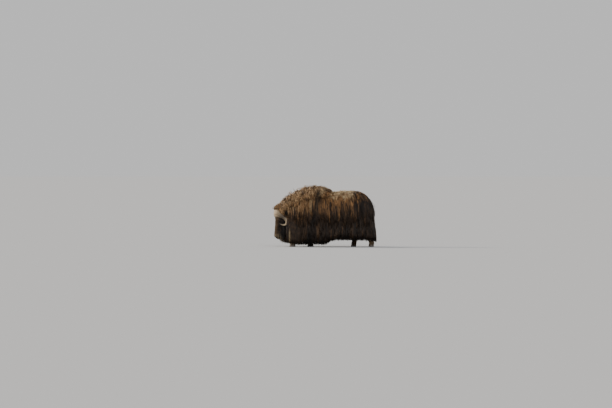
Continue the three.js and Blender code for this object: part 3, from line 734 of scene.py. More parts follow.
# Hair as joined solid tufts
def tuft_points(paths, outs, width):
    """Rings of three points along each path, flat to the body, and the path's tip."""
    count, stations = paths.shape[:2]
    rings = stations - 1
    share = np.linspace(0.0, 1.0, stations)[:rings]
    size = np.interp(share, np.linspace(0.0, 1.0, len(TUFT_PROFILE)), TUFT_PROFILE)
    tangent = unit(np.gradient(paths, axis=1))
    side = unit(np.cross(tangent, outs[:, None]))
    over = unit(np.cross(side, tangent))
    half = 0.5 * width[:, None] * size[None]
    centre = paths[:, :rings]
    left = centre - half[..., None] * side[:, :rings]
    right = centre + half[..., None] * side[:, :rings]
    ridge = centre + (2 * TUFT_RIDGE * half)[..., None] * over[:, :rings]
    body = np.stack([left, right, ridge], axis=2).reshape(count, rings * 3, 3)
    return np.concatenate([body, paths[:, -1:]], axis=1)


def tuft_faces(rings):
    """The corners of one closed tuft's faces, one after another, and each face's number of them."""
    tip = rings * 3
    quads, tris = [], [(0, 2, 1)]
    for i in range(rings - 1):
        for j in range(3):
            a, b = 3 * i + j, 3 * i + (j + 1) % 3
            quads.append((a, b, b + 3, a + 3))
    for j in range(3):
        tris.append((tip - 3 + j, tip - 3 + (j + 1) % 3, tip))
    corners = np.concatenate([np.array(quads).ravel(), np.array(tris).ravel()])
    return corners, np.array([4] * len(quads) + [3] * len(tris))


def repeated_mesh(name, verts, corners, totals):
    """One mesh of many like shapes: verts of (shapes, points, 3) and the faces of one shape."""
    count, each = verts.shape[:2]
    first = (np.arange(count) * each)[:, None]
    loops = (corners[None] + first).ravel()
    totals = np.tile(totals, count)
    mesh = bpy.data.meshes.new(name)
    mesh.vertices.add(count * each)
    mesh.vertices.foreach_set("co", verts.astype(np.float32).ravel())
    mesh.loops.add(len(loops))
    mesh.loops.foreach_set("vertex_index", loops.astype(np.int32))
    mesh.polygons.add(len(totals))
    starts = np.concatenate([[0], np.cumsum(totals)[:-1]])
    mesh.polygons.foreach_set("loop_start", starts.astype(np.int32))
    mesh.polygons.foreach_set("use_smooth", np.ones(len(totals), dtype=bool))
    mesh.update(calc_edges=True)
    return mesh, loops


def tuft_object(name, material, paths, outs, width, roots_uv, marks):
    """Closed, tapered tufts along paths of (tufts, stations, 3). roots_uv: each root's place on
    the skin's unwrap. marks: pale, brown and tone of each tuft or of each of its stations."""
    count, stations = paths.shape[:2]
    rings = stations - 1
    verts = tuft_points(paths, outs, width)
    mesh, loops = repeated_mesh(name, verts, *tuft_faces(rings))
    at = np.append(np.repeat(np.arange(rings), 3), rings)
    station = at / rings
    across = np.append(np.tile([0.0, 1.0, 0.5], rings), 0.5)
    patch = PATCH * np.stack([across - 0.5, station - 0.5], axis=-1)
    uv = roots_uv[:, None] + patch[None]
    layer = mesh.uv_layers.new(name="OFBake")
    layer.data.foreach_set("uv", uv.reshape(-1, 2)[loops].astype(np.float32).ravel())
    spread = [v[:, None].repeat(stations, axis=1) if v.ndim == 1 else v for v in marks]
    pale, brown, tone = [v[:, at].ravel() for v in spread]
    set_marks(mesh, pale, brown, tone, np.tile(station, count))
    length = np.linalg.norm(np.diff(paths, axis=1), axis=-1).sum(axis=1)
    pick = (np.arange(count) * 0.6180339) % 1.0
    set_fibre(
        mesh,
        (across[None] * width[:, None]).ravel(),
        (station[None] * length[:, None]).ravel(),
        np.repeat(pick, verts.shape[1]),
    )
    mesh.materials.append(material)
    piece = bpy.data.objects.new(name, mesh)
    bpy.context.scene.collection.objects.link(piece)
    return piece


class SkinMap:
    """Finds the skin's unwrap at places near it."""

    def __init__(self):
        mesh = bpy.data.objects["skin"].data
        loops = [polygon.loop_start for polygon in mesh.polygons]
        totals = [polygon.loop_total for polygon in mesh.polygons]
        corner = np.empty(len(mesh.loops), dtype=np.int32)
        mesh.loops.foreach_get("vertex_index", corner)
        uv = np.empty(len(mesh.loops) * 2, dtype=np.float32)
        mesh.uv_layers["OFBake"].data.foreach_get("uv", uv)
        self.uv = uv.reshape(-1, 2)
        self.loops, self.totals = np.array(loops), np.array(totals)
        polygons = [corner[a : a + n].tolist() for a, n in zip(loops, totals)]
        points = [tuple(p) for p in vertices_of(mesh)]
        self.tree = BVHTree.FromPolygons(points, polygons)

    def nearest(self, places):
        """The nearest points of the skin, their normals and their unwrap."""
        hits = [self.tree.find_nearest(Vector(p)) for p in places]
        points = np.array([h[0][:] for h in hits])
        normals = np.array([h[1][:] for h in hits])
        faces = np.array([h[2] for h in hits])
        first, total = self.loops[faces], self.totals[faces]
        uv = sum(self.uv[first + k % total] for k in range(3)) / 3.0
        return points, normals, uv


def trunk_roots(random, count, area):
    """Places spread evenly by area over a part of the trunk, with the way out of each: x, angle,
    place and way."""
    tries = count * TRIES
    x = random.uniform(*area.x_range, tries)
    angle = random.uniform(*np.radians(area.degrees), tries)
    step = 0.004
    place = trunk_point(x, angle)
    forwards = trunk_point(x + step, angle) - place
    upwards = trunk_point(x, angle + step) - place
    size = np.linalg.norm(np.cross(forwards, upwards), axis=-1)
    keep = np.sort(random.choice(tries, count, replace=False, p=size / size.sum()))
    side = random.choice([-1.0, 1.0], count)
    if area.side is not None:
        side = np.full(count, area.side)
    x, angle = x[keep], angle[keep]
    root = trunk_point(x, angle)
    root[:, 1] *= side
    return x, angle, root, trunk_out(root)[1]


def hem_at(x):
    """The height of the coat's lower edge."""
    return catmull(HEM, 1, x)


def hang(root, out, length, lie, lift, depth, stations, floor):
    """Hair from roots on the trunk: out along the normal, then down under its weight, sliding over
    the body and standing further off it towards the tip."""
    path = [root - LONG_SUNK * out]
    heading = unit(lift[:, None] * out + lie)
    stride = (length / (stations - 1))[:, None]
    p = root.copy()
    for i in range(1, stations):
        heading = unit(heading + DOWN * HAIR_WEIGHT * stride)
        p = p + heading * stride
        distance, away = trunk_out(p)
        clear = depth * smooth(np.full(len(p), i / (stations - 1) * 1.25))
        p = p + away * np.maximum(clear - distance, 0.0)[:, None]
        beside_legs = (p[:, 2] < BELLY) & (np.abs(out[:, 1]) > 0.5)
        wide = np.sign(p[:, 1]) * np.maximum(np.abs(p[:, 1]), STALL)
        p[:, 1] = np.where(beside_legs, wide, p[:, 1])
        path.append(p.copy())
    return ended_at(np.stack(path, axis=1), floor)


def ended_at(paths, floor):
    """Shortens the paths that reach below their floor, so that they end on it."""
    count, stations = paths.shape[:2]
    root, tip = paths[:, 0, 2], paths[:, -1, 2]
    keep = np.clip((root - floor) / np.maximum(root - tip, 1e-6), 0.05, 1.0)
    keep = np.where(tip < floor, keep, 1.0)
    at = np.linspace(0.0, 1.0, stations)[None] * keep[:, None] * (stations - 1)
    low = np.clip(at.astype(int), 0, stations - 2)
    part = (at - low)[..., None]
    rows = np.arange(count)[:, None]
    return paths[rows, low] * (1.0 - part) + paths[rows, low + 1] * part


def waved(paths, outs, random, amplitude, length_wave, group):
    """Bends tufts in waves that neighbours of one group share."""
    groups = group.max() + 1
    step = np.linalg.norm(np.diff(paths, axis=1), axis=-1)
    travelled = np.concatenate([np.zeros((len(paths), 1)), np.cumsum(step, axis=1)], axis=1)
    tangent = unit(np.gradient(paths, axis=1))
    side = unit(np.cross(tangent, outs[:, None]))
    start = random.uniform(0, 2 * math.pi, (2, groups))[:, group]
    start = start + random.normal(0, 0.5, (2, len(paths)))
    pace = (2 * math.pi / length_wave) * random.uniform(0.8, 1.25, groups)[group][:, None]
    swell = amplitude[:, None] * smooth(travelled / np.maximum(travelled[:, -1:], 1e-6) * 2.2)
    sway = swell * np.sin(travelled * pace + start[0][:, None])
    rise = 0.5 * swell * (1.0 + np.sin(travelled * pace * 0.83 + start[1][:, None]))
    return paths + sway[..., None] * side + rise[..., None] * outs[:, None]


def gathered(paths, roots, guides, guide_of, strength):
    """Draws tufts towards the guide of their lock, more so towards the tip."""
    offset = roots - guides[guide_of][:, 1]
    share = np.linspace(0.0, 1.0, paths.shape[1])
    pull = strength[:, None] * smooth(share[None] * 1.1)
    near = guides[guide_of] + offset[:, None] * (1.0 - 0.72 * share[None, :, None])
    return paths * (1.0 - pull[..., None]) + near * pull[..., None]


def nearest_guide(roots, guide_roots):
    """Which lock each tuft belongs to."""
    tree = KDTree(len(guide_roots))
    for i, point in enumerate(guide_roots):
        tree.insert(Vector(point), i)
    tree.balance()
    return np.array([tree.find(Vector(p))[1] for p in roots])


def coat_marks(random, root, paths, guide_of, locks):
    """Pale and brown along each tuft, and its tone. Tufts of one lock are alike."""
    tufts = len(root)
    x, height = paths[..., 0], paths[..., 2]
    on_mane = root[:, 0] < CLEFT[0]
    pale, brown = markings(root)
    lock_tone = random.uniform(0.0, 1.0, locks)[guide_of]
    tone = np.clip(0.55 * lock_tone + 0.45 * random.uniform(0, 1, tufts), 0, 1)
    blotch = random.normal(0.0, 0.17, locks)[guide_of] + random.normal(0.0, 0.12, tufts)
    blotch = blotch * (1.0 + 0.7 * past(root[:, 2], 0.95, 0.15))
    pale = np.clip(pale + blotch * (pale > 0.03), 0, np.where(on_mane, PALEST_MANE, 1.0))
    brown = np.clip(brown + 1.5 * blotch * (brown > 0.05), 0, 1)
    fade = np.where(on_mane, BROWN_DOWN_TO, SADDLE_DOWN_TO)
    fade = fade + random.normal(0.0, 0.09, locks)[guide_of] + random.normal(0.0, 0.05, tufts)
    stay = 0.10 + 0.90 * past(height, fade[:, None], 0.20)
    pale_to = np.where(on_mane, BROWN_DOWN_TO + 0.06, PALE_DOWN_TO)
    pale_to = pale_to + 0.5 * (fade - fade.mean())
    brown = np.where(on_mane, brown, np.maximum(brown, 0.9 * pale))
    pale = pale[:, None] * past(height, pale_to[:, None], 0.12)
    streak = 0.02 + 0.24 * random.uniform(0, 1, locks)[guide_of] ** 4
    # painted shade: the crease behind the mane darkens the pale and brown hair
    crease_shade_factor = crease_shade(x, height)
    brown = np.maximum(brown[:, None] * stay, streak[:, None]) * crease_shade_factor
    strand = bump(x - PALE_STRAND[0], PALE_STRAND[1]) * before(height, PALE_STRAND[2], 0.08)
    pale = np.maximum(pale * crease_shade_factor, 0.42 * strand * (lock_tone > 0.4)[:, None])
    return pale, brown, tone


def long_coat(area, sizes, material, skin_map):
    """One area of the trunk's coat, with its tufts drawn together into locks."""
    random = np.random.default_rng(area.seed)
    style = area.style
    tufts = int(area.tufts * sizes.density)

    def grown(x, angle, root, out, spread):
        length, lie, lift, depth = style.grow(x, angle, root, random, spread)
        length = length * sizes.coat_length
        floor = hem_at(x) + (0.012 + 0.05 * spread) * random.uniform(0, 1, len(x)) ** 2
        floor = np.maximum(floor, LOWEST_TIP)
        return clear_of_head(hang(root, out, length, lie, lift, depth, style.stations, floor))

    guide_roots = trunk_roots(random, area.locks, area)
    guides = grown(*guide_roots, 1.0)
    roots = trunk_roots(random, tufts, area)
    root, out = roots[2:]
    guide_of = nearest_guide(root, guide_roots[2])
    paths = grown(*roots, 0.4)
    strength = random.uniform(0.55, 0.95, tufts) * style.gather
    paths = gathered(paths, root, guides, guide_of, strength)
    fine = guide_of * 4 + random.integers(0, 4, tufts)
    amplitude = style.wave * random.uniform(0.5, 1.3, tufts)
    paths = waved(paths, out, random, amplitude, style.wave_length, fine)
    paths[..., 2] = np.maximum(paths[..., 2], LOWEST_TIP)
    paths[..., 2] -= 0.75 * np.maximum(paths[..., 2] - HUMP_TOP, 0.0)
    marks = coat_marks(random, root, paths, guide_of, area.locks)
    width = sizes.tuft_width * style.width * random.uniform(0.6, 1.4, tufts)
    uv = skin_map.nearest(root)[2]
    finish_piece(tuft_object(area.name, material, paths, out, width, uv, marks), "coat")


def clear_of_head(paths):
    """Lays hair that would cover the horns and cheeks behind them, and spreads the rear skirt."""
    x, y, z = paths[..., 0], paths[..., 1], paths[..., 2]
    high = past(z, 0.40, 0.08) * before(z, 0.90, 0.10)
    wide = past(np.abs(y), 0.10, 0.05)
    limit = HORN_BACK + 0.03 * np.clip((0.66 - z) / 0.3, 0.0, 1.0) - 0.15 * past(z, 0.66, 0.12)
    behind = np.maximum(limit - x, 0.0) * high * wide
    at_base = before(x, -0.86, 0.05) * before(z, 0.90, 0.10) * past(z, 0.58, 0.06) * wide
    out = np.maximum(HORN_SIDE - np.abs(y), 0.0) * at_base * np.sign(y)
    flare = REAR_FLARE * past(x, 0.92, 0.13) * before(z, 0.86, 0.70)
    moved = paths.copy()
    moved[..., 0] = x + behind + flare
    moved[..., 1] = y + out
    return moved


def blend_along(x, table):
    """The values at x of straight lines through a table's rows."""
    keys = np.array([row[0] for row in table])
    return [np.interp(x, keys, [row[k] for row in table]) for k in range(1, len(table[0]))]


# Lengths along the body: x, crest length, lift and depth
CREST = (
    (-0.95, 0.21, 2.0, 0.135),
    (-0.84, 0.21, 1.7, 0.105),
    (-0.70, 0.22, 1.3, 0.082),
    (-0.30, 0.25, 1.5, 0.092),
    (-0.02, 0.21, 1.2, 0.080),
    (0.12, 0.15, 0.5, 0.046),
    (0.42, 0.17, 0.4, 0.044),
    (0.76, 0.22, 0.4, 0.048),
    (1.00, 0.27, 0.3, 0.022),
)
POLL_HAIR = -0.83  # nearer to the nose the crest falls forward over the poll


def grow_crest(x, angle, root, random, spread):
    """Tousled hair that parts along the ridge."""
    length, lift, depth = blend_along(x, CREST)
    count = len(x)
    side = np.where(root[:, 1] < 0, -1.0, 1.0)
    level = smooth((math.radians(90) - angle) / math.radians(28))
    across = side * (0.75 + 0.5 * np.cos(angle)) * level
    across = across + (1.0 - level) * random.normal(0.0, 0.8, count)
    onward = np.where(x < POLL_HAIR, -0.35, 0.45) + (1.0 - level) * 0.25
    lie = np.stack([onward, across, np.full(count, -0.25)], axis=-1)
    lie = lie + (0.5 + 0.5 * spread) * random.normal(0.0, 0.34, (count, 3))
    longer = 1.0 + 0.6 * level * before(x, -0.80, 0.08)
    length = length * random.uniform(0.7, 1.2, count) * longer
    lift = lift * random.uniform(0.6, 1.2, count)
    return length, lie, lift, depth * random.uniform(0.35, 1.1, count)


def grow_saddle(x, angle, root, random, spread):
    """Like the crest, with a longer fringe down both sides."""
    length, lie, lift, depth = grow_crest(x, angle, root, random, spread)
    fringe = smooth((math.radians(72) - angle) / math.radians(26))
    return length * (1.0 + 1.3 * fringe * random.uniform(0.3, 1.0, len(x))), lie, lift, depth


def grow_curtain(x, root, random, want, back, lift, depth):
    """Hair that hangs straight down, to the hem at most."""
    count = len(x)
    reach = root[:, 2] - hem_at(x)
    lie = np.stack([back, np.zeros(count), np.full(count, -1.0)], axis=-1)
    depth = depth * random.uniform(0.4, 1.1, count)
    return np.minimum(reach * 1.1, want), lie, np.full(count, lift), depth


def grow_mane(x, angle, root, random, spread):
    """The curtain of the neck and shoulder, swept back behind the horns."""
    count = len(x)
    want = random.uniform(0.46, 0.76, count) + 0.12 * before(root[:, 2], 1.0, 0.3)
    back = 0.08 + 0.40 * before(x, -0.72, 0.12)
    back = back + spread * random.normal(0, 0.10, count)
    depth = 0.050 + 0.045 * past(root[:, 2], 0.6, 0.5)
    return grow_curtain(x, root, random, want, back, 0.4, depth)


def grow_side(x, angle, root, random, spread):
    """The curtain of the flanks and thighs, longer and swept back behind the thigh."""
    count = len(x)
    behind = past(x, 0.88, 0.12)
    want = random.uniform(0.42, 0.78, count) + 0.12 * before(root[:, 2], 1.0, 0.3) + 0.32 * behind
    back = 0.04 + 0.30 * behind
    back = back + spread * random.normal(0, 0.07, count)
    depth = (0.046 + 0.045 * past(root[:, 2], 0.6, 0.5)) * (1.0 - 0.6 * behind)
    return grow_curtain(x, root, random, want, back, 0.3, depth)


def grow_rear(x, angle, root, random, spread):
    """The hair that closes the rear between the thighs, over the tail."""
    count = len(x)
    reach = root[:, 2] - hem_at(x)
    back = 0.26 + spread * random.normal(0, 0.06, count)
    lie = np.stack([back, -1.6 * root[:, 1], np.full(count, -1.0)], axis=-1)
    depth = 0.030 * random.uniform(0.3, 1.2, count)
    want = random.uniform(0.5, 0.85, count)
    return np.minimum(reach * 1.1, want), lie, np.full(count, 0.3), depth


# A way of growing: grow(x, angle, root, random, spread) gives length, lie, lift and depth
Style = namedtuple("Style", "grow stations gather wave wave_length width")
Area = namedtuple("Area", "name seed tufts locks x_range degrees style side")

CREST_STYLE = Style(grow_crest, 6, 0.92, 0.014, 0.13, 0.66)
SADDLE_STYLE = Style(grow_saddle, 6, 0.80, 0.007, 0.12, 0.9)
MANE_STYLE = Style(grow_mane, 7, 0.97, 0.008, 0.19, 1.05)
REAR_STYLE = Style(grow_rear, 7, 0.92, 0.007, 0.21, 1.05)
SIDE_STYLE = Style(grow_side, 7, 0.97, 0.007, 0.21, 1.05)

# Areas of the long coat, with their ranges along the body and up round it
AREAS = (
    Area("coat_hump_left", 11, 2900, 260, (-0.62, 0.07), (48, 90), CREST_STYLE, -1.0),
    Area("coat_hump_right", 12, 2900, 260, (-0.62, 0.07), (48, 90), CREST_STYLE, 1.0),
    Area("coat_nape_left", 13, 2000, 150, (-0.955, -0.58), (36, 90), CREST_STYLE, -1.0),
    Area("coat_nape_right", 14, 2000, 150, (-0.955, -0.58), (36, 90), CREST_STYLE, 1.0),
    Area("coat_saddle", 15, 4000, 320, (0.02, 0.66), (38, 90), SADDLE_STYLE, None),
    Area("coat_croup", 16, 2900, 240, (0.60, 1.055), (26, 90), SADDLE_STYLE, None),
    Area("coat_mane_left", 17, 2600, 200, (-0.88, -0.40), (-50, 60), MANE_STYLE, -1.0),
    Area("coat_mane_right", 18, 2600, 200, (-0.88, -0.40), (-50, 60), MANE_STYLE, 1.0),
    Area("coat_shoulder_left", 19, 2600, 200, (-0.44, 0.12), (-50, 58), SIDE_STYLE, -1.0),
    Area("coat_shoulder_right", 20, 2600, 200, (-0.44, 0.12), (-50, 58), SIDE_STYLE, 1.0),
    Area("coat_flank_left", 21, 2500, 200, (0.08, 0.66), (-50, 52), SIDE_STYLE, -1.0),
    Area("coat_flank_right", 22, 2500, 200, (0.08, 0.66), (-50, 52), SIDE_STYLE, 1.0),
    Area("coat_thigh_left", 23, 2400, 190, (0.60, 1.06), (-50, 54), SIDE_STYLE, -1.0),
    Area("coat_thigh_right", 24, 2400, 190, (0.60, 1.06), (-50, 54), SIDE_STYLE, 1.0),
    Area("coat_rear", 25, 1500, 120, (0.96, 1.060), (-30, 89), REAR_STYLE, None),
)


# The head's surface
def head_slice(s):
    """How far the head reaches to the face, the throat and the side at s, and its scale there."""
    up, down, half = [catmull(HEAD, column, s) for column in (1, 2, 3)]
    blunt = np.clip((s - BLUNT_FROM) / (LIPS_AT - BLUNT_FROM), 0.0, 1.0)
    crown = np.where(s < 0.060, np.sqrt(np.maximum(0.0, 1.0 - ((0.060 - s) / 0.075) ** 2)), 1.0)
    return up, down, half, np.sqrt(1.0 - blunt**2) * crown


def head_surface(s, angle):
    """(along, side, face) of the head's surface, with its forms raised and sunk."""
    up, down, half, scale = head_slice(s)
    power = 2.0 / HEAD_POWER
    wide = np.sign(np.cos(angle)) * np.abs(np.cos(angle)) ** power
    rise = np.sign(np.sin(angle)) * np.abs(np.sin(angle)) ** power
    half = half * (1.0 - HEAD_PINCH * np.maximum(0.0, rise))
    middle = (up - down) / 2
    side = half * wide * scale
    face = middle + (rise * np.where(rise > 0, up, down) - middle) * scale
    swell = head_forms(s, np.abs(side), face)
    length = np.hypot(side, face - middle) + 1e-6
    side = side + swell * side / length
    face = face + swell * (face - middle) / length
    return np.stack([s + 0.0 * side, side, face], axis=-1)


def head_forms(s, side, face):
    """How far the head's surface is raised above its plain slices, in metres."""
    swell = 0.0
    for height, centre, radius in FACE_FORMS:
        offset = ((s - centre[0]) / radius[0]) ** 2 + ((side - centre[1]) / radius[1]) ** 2
        swell = swell + height * np.exp(-offset - ((face - centre[2]) / radius[2]) ** 2)
    slant = s - 0.670 - 0.45 * (face - 0.092)
    nostril = (slant / 0.017) ** 2 + ((side - 0.046) / 0.024) ** 2 + ((face - 0.092) / 0.036) ** 2
    swell = swell - 0.030 * np.exp(-(nostril**1.6))
    lips = face - 0.016 - 0.014 * before(s, 0.64, 0.06)
    swell = swell - 0.0120 * (bump(lips, 0.0055) * past(s, 0.578, 0.03))
    middle = past(s, 0.655, 0.02) * past(face, 0.02, 0.02) * before(face, 0.09, 0.02)
    return swell - 0.005 * middle * bump(side, 0.004)


def head_axis(s):
    """The middle of the head's slice at s, as a point."""
    face = (catmull(HEAD, 1, s) - catmull(HEAD, 2, s)) / 2
    return (0, face)


def head_mesh():
    """The head, with close rings so that its forms are smooth."""
    s = np.concatenate([
        np.array([-0.008, 0.004]),
        np.linspace(0.018, 0.56, 110),
        np.linspace(0.565, 0.7112, 62),
    ])
    local = head_surface(np.maximum(s, 0.0)[:, None], ring_turns(150)[None, :])
    local[..., 0] = s[:, None]
    crown = on_head((-0.014, *head_axis(0.0)))
    lips = on_head((LIPS_AT, *head_axis(LIPS_AT)))
    return loft("head_form", on_head(local), crown, lips)


def eye_place(side):
    """The centre of an eye, the way it looks and the way along the face."""
    out = unit(head_way((0.0, side, 0.35)))
    centre = on_head((EYE[0], side * EYE[1], EYE[2]))
    return centre, out, unit(FACEWARDS - out * (FACEWARDS @ out))


def lid_mesh(side):
    """The rim of both lids round an eye, an almond ring whose upper lid is the thicker."""
    centre, out, ahead = eye_place(side)
    centre = centre + out * 0.0105
    up = unit(-NOSEWARDS + out * (NOSEWARDS @ out))
    ring, section = 64, 16
    turn = ring_turns(ring)
    sharp = 1.0 + 0.20 * np.abs(np.cos(turn)) ** 6
    path = (
        centre
        + (LID_OPENING[0] * np.cos(turn) * sharp)[:, None] * ahead
        + (LID_OPENING[1] * np.sin(turn))[:, None] * up
        - (0.008 * np.abs(np.cos(turn)) ** 3)[:, None] * out
    )
    radial = unit(path - centre)
    thick = np.where(np.sin(turn) > 0, *LID_THICK) * (1.0 - 0.25 * np.abs(np.cos(turn)) ** 4)
    angle = ring_turns(section)
    rings = (
        path[:, None]
        + (thick[:, None] * np.cos(angle) * 1.25)[..., None] * radial[:, None]
        + (thick[:, None] * np.sin(angle))[..., None] * out
    )
    verts = rings.reshape(-1, 3)
    faces = []
    for i in range(ring):
        for j in range(section):
            a, b = i * section, ((i + 1) % ring) * section
            k = (j + 1) % section
            faces.append((a + j, a + k, b + k, b + j))
    piece = make_object("lid", verts, faces)
    outward(piece)
    return piece


def ear_line(t, side):
    """Points down the middle of an ear, at shares t of its length."""
    along = -0.15 + 1.15 * t
    return on_head(mirrored(np.array(EAR) + along[:, None] * EAR_WAY, side))


def ear_mesh(side):
    """A leaf-shaped ear with a hollow cup that faces forward and down."""
    t = np.linspace(0.0, 1.0, 40)
    path = ear_line(t, side)
    wide, thick = [row[:, None] for row in blend_along(t, EAR_SECTION)]
    hollow = blend_along(t, EAR_CUP)[0][:, None]
    tangent, ways, overs = sweep(path, NOSEWARDS)
    front = np.sign(overs @ FACEWARDS)[:, None] * overs
    angle = ring_turns(40)
    cosine, sine = np.cos(angle), np.sin(angle)
    bowl = np.where(sine > 0, 1.0, 0.0)
    lift = thick * sine - hollow * bowl * EAR_CUP_DEPTH * (1 - cosine**2) ** 0.7
    rim = EAR_RIM * np.abs(cosine) ** 2 * hollow
    rings = (
        path[:, None]
        + (wide * cosine)[..., None] * ways[:, None]
        + lift[..., None] * front[:, None]
        + rim[..., None] * front[:, None]
    )
    return loft("ear", rings, path[0], path[-1] + tangent[-1] * 0.003)


def leg_stations(name):
    """The stations of a leg from above the hip or shoulder down to the hoof."""
    hip, foot, fore = LEGS[name]
    hip, foot = np.array(hip), np.array(foot)
    girth = GIRTH[fore]
    knee = 0.5 if fore else 0.56
    joint = np.array([
        hip[0] + (foot[0] - hip[0]) * knee + (-0.012 if fore else 0.044),
        hip[1] + (foot[1] - hip[1]) * knee,
        hip[2] + (FETLOCK - hip[2]) * knee,
    ])
    low = np.array([foot[0] + 0.014, foot[1], FETLOCK])
    rows = [
        (*(hip + (0, 0, 0.120)), 0.108, 0.082),
        (*hip, 0.098, 0.074),
        (*(joint + (hip - joint) * 0.45), 0.072 * girth, 0.060 * girth),
        (*joint, 0.058 * girth, 0.050 * girth),
        (*(joint + (low - joint) * 0.55), 0.042 * girth, 0.038 * girth),
        (*low, 0.050 * girth, 0.048 * girth),
        (foot[0] + 0.002, foot[1], HOOF_HEIGHT - 0.004, 0.053 * girth, 0.050 * girth),
    ]
    return np.array(rows)


def leg_mesh(name):
    """A leg with its tendon, knee and pastern, down to the top of the hoof."""
    def shape(t, angle):
        tendon = 0.06 * np.maximum(0.0, np.cos(angle)) * bump(t - 0.66, 0.10)
        hollow = -0.10 * np.abs(np.sin(angle)) ** 3 * bump(t - 0.68, 0.11)
        knob = 0.05 * np.abs(np.sin(angle)) ** 2 * bump(t - 0.5, 0.05)
        return 1.0 + tendon + hollow + knob

    return tube("leg_" + name, leg_stations(name), 40, 90, (1.0, 0.0, 0.0), None, shape)


def dewclaw_meshes(name):
    """The two small claws behind the pastern."""
    foot, fore = LEGS[name][1:]
    claws = []
    for side in (-1, 1):
        behind = foot[0] + 0.058 * GIRTH[fore]
        centre = np.array([behind, foot[1] + side * 0.027, FETLOCK - 0.014])
        rows = [
            (*(centre + (-0.010, 0, 0.020)), 0.012, 0.010),
            (*(centre + (0.001, 0, 0.008)), 0.014, 0.012),
            (*(centre + (0.006, 0, -0.010)), 0.011, 0.010),
            (*(centre + (0.008, 0, -0.021)), 0.004, 0.004),
        ]
        claws.append(tube("dewclaw", rows, 16, 12, (1.0, 0.0, 0.0)))
    return claws


def trunk_mesh():
    """The trunk, with closer rings where its ends are rounded."""
    turns = np.radians(np.linspace(86, 4, 12))
    front = FRONT[0] + (FRONT[1] - FRONT[0]) * np.sin(turns)
    turns = np.radians(np.linspace(4, 86, 20))
    rear = REAR[0] + (REAR[1] - REAR[0]) * np.sin(turns)
    x = np.concatenate([front, np.linspace(FRONT[0], REAR[0], 80), rear])
    angle = ring_turns(84)
    rings = trunk_point(x[:, None] + 0.0 * angle, angle + 0.0 * x[:, None])
    poles = []
    for at in (FRONT[1], REAR[1]):
        top, bottom = trunk_slice(at)[:2]
        poles.append((at, 0.0, bottom + WAIST * (top - bottom)))
    return loft("trunk", rings, *poles)


# Pieces
def unwrap(piece):
    bpy.context.view_layer.objects.active = piece
    piece.select_set(True)
    bpy.ops.object.mode_set(mode="EDIT")
    bpy.ops.mesh.select_all(action="SELECT")
    bpy.ops.uv.smart_project(angle_limit=math.radians(66), island_margin=0.003)
    bpy.ops.object.mode_set(mode="OBJECT")
    piece.select_set(False)
    piece.data.uv_layers[0].name = "OFBake"


def build_skin(settings):
    parts = [trunk_mesh(), head_mesh()]
    parts += [lid_mesh(side) for _, side in SIDES]
    parts += [ear_mesh(side) for _, side in SIDES]
    for name in LEGS:
        parts.append(leg_mesh(name))
        parts += dewclaw_meshes(name)
    parts.append(tube("tail", TAIL, 32, 40, (0.0, 1.0, 0.0)))
    skin = fuse("skin", parts, skin_material(settings.colours))
    unwrap(skin)
    points = vertices_of(skin.data)
    pale, brown = markings(points)
    hairy = 1.0 - bare(points)
    set_marks(skin.data, pale * hairy, brown * hairy, 0.45 * hairy, 0.35 * hairy)
    nodes = ["head", "neck", "torso_left", "torso_right", "tail", "ear_left", "ear_right"]
    nodes += ["leg_" + name for name in LEGS]
    finish_piece(skin, "coat", *nodes)


def build_eyes(settings):
    material = eye_material(settings.colours)
    for name, side in SIDES:
        centre, out, ahead = eye_place(side)
        up = np.cross(out, ahead)
        polar = np.linspace(0.0, math.pi, 42)[1:-1]
        around = ring_turns(56)[None, :, None]
        radius = EYE_RADIUS * (1.0 + 0.06 * bump(polar, 0.55))
        ring = (
            centre
            + (radius * np.cos(polar))[:, None, None] * out
            + (radius * np.sin(polar))[:, None, None]
            * (np.cos(around) * ahead + np.sin(around) * up)
        )
        poles = (centre + out * radius[0], centre - out * EYE_RADIUS)
        eye = loft("eyeball_" + name, ring, *poles, material)
        points = vertices_of(eye.data) - centre
        flat = np.stack([points @ ahead / 1.35, points @ up / 0.8], axis=-1) / EYE_RADIUS
        front = points @ out > 0
        share = np.where(front, np.clip(np.linalg.norm(flat, axis=-1), 0, 1), 1.0)
        zero = np.zeros(len(points))
        set_marks(eye.data, zero, zero, zero, share)
        finish_piece(eye, "eye", "eye_" + name)


def horn_relief(ridges):
    """The grooves of the boss and the growth rings of the curl, as a scale of the section."""
    def shape(t, angle):
        grooves = sum(
            np.sin(angle * (9 + 5 * k) + ridges[k] + 2.2 * np.sin(5 * t + k)) / (1.6 + k)
            for k in range(5)
        )
        rings = np.sin(t * 95 + 1.4 * np.sin(angle)) * past(t, 0.30, 0.15) * before(t, 0.80, 0.2)
        furrows = np.sin(angle * 37 + 3 * np.sin(9 * t) + ridges[5])
        boss = BOSS_FURROWS * before(t, 0.36, 0.12) * furrows
        return 1.0 + BOSS_GROOVES * before(t, 0.62, 0.5) * grooves + GROWTH_RINGS * rings + boss

    return shape


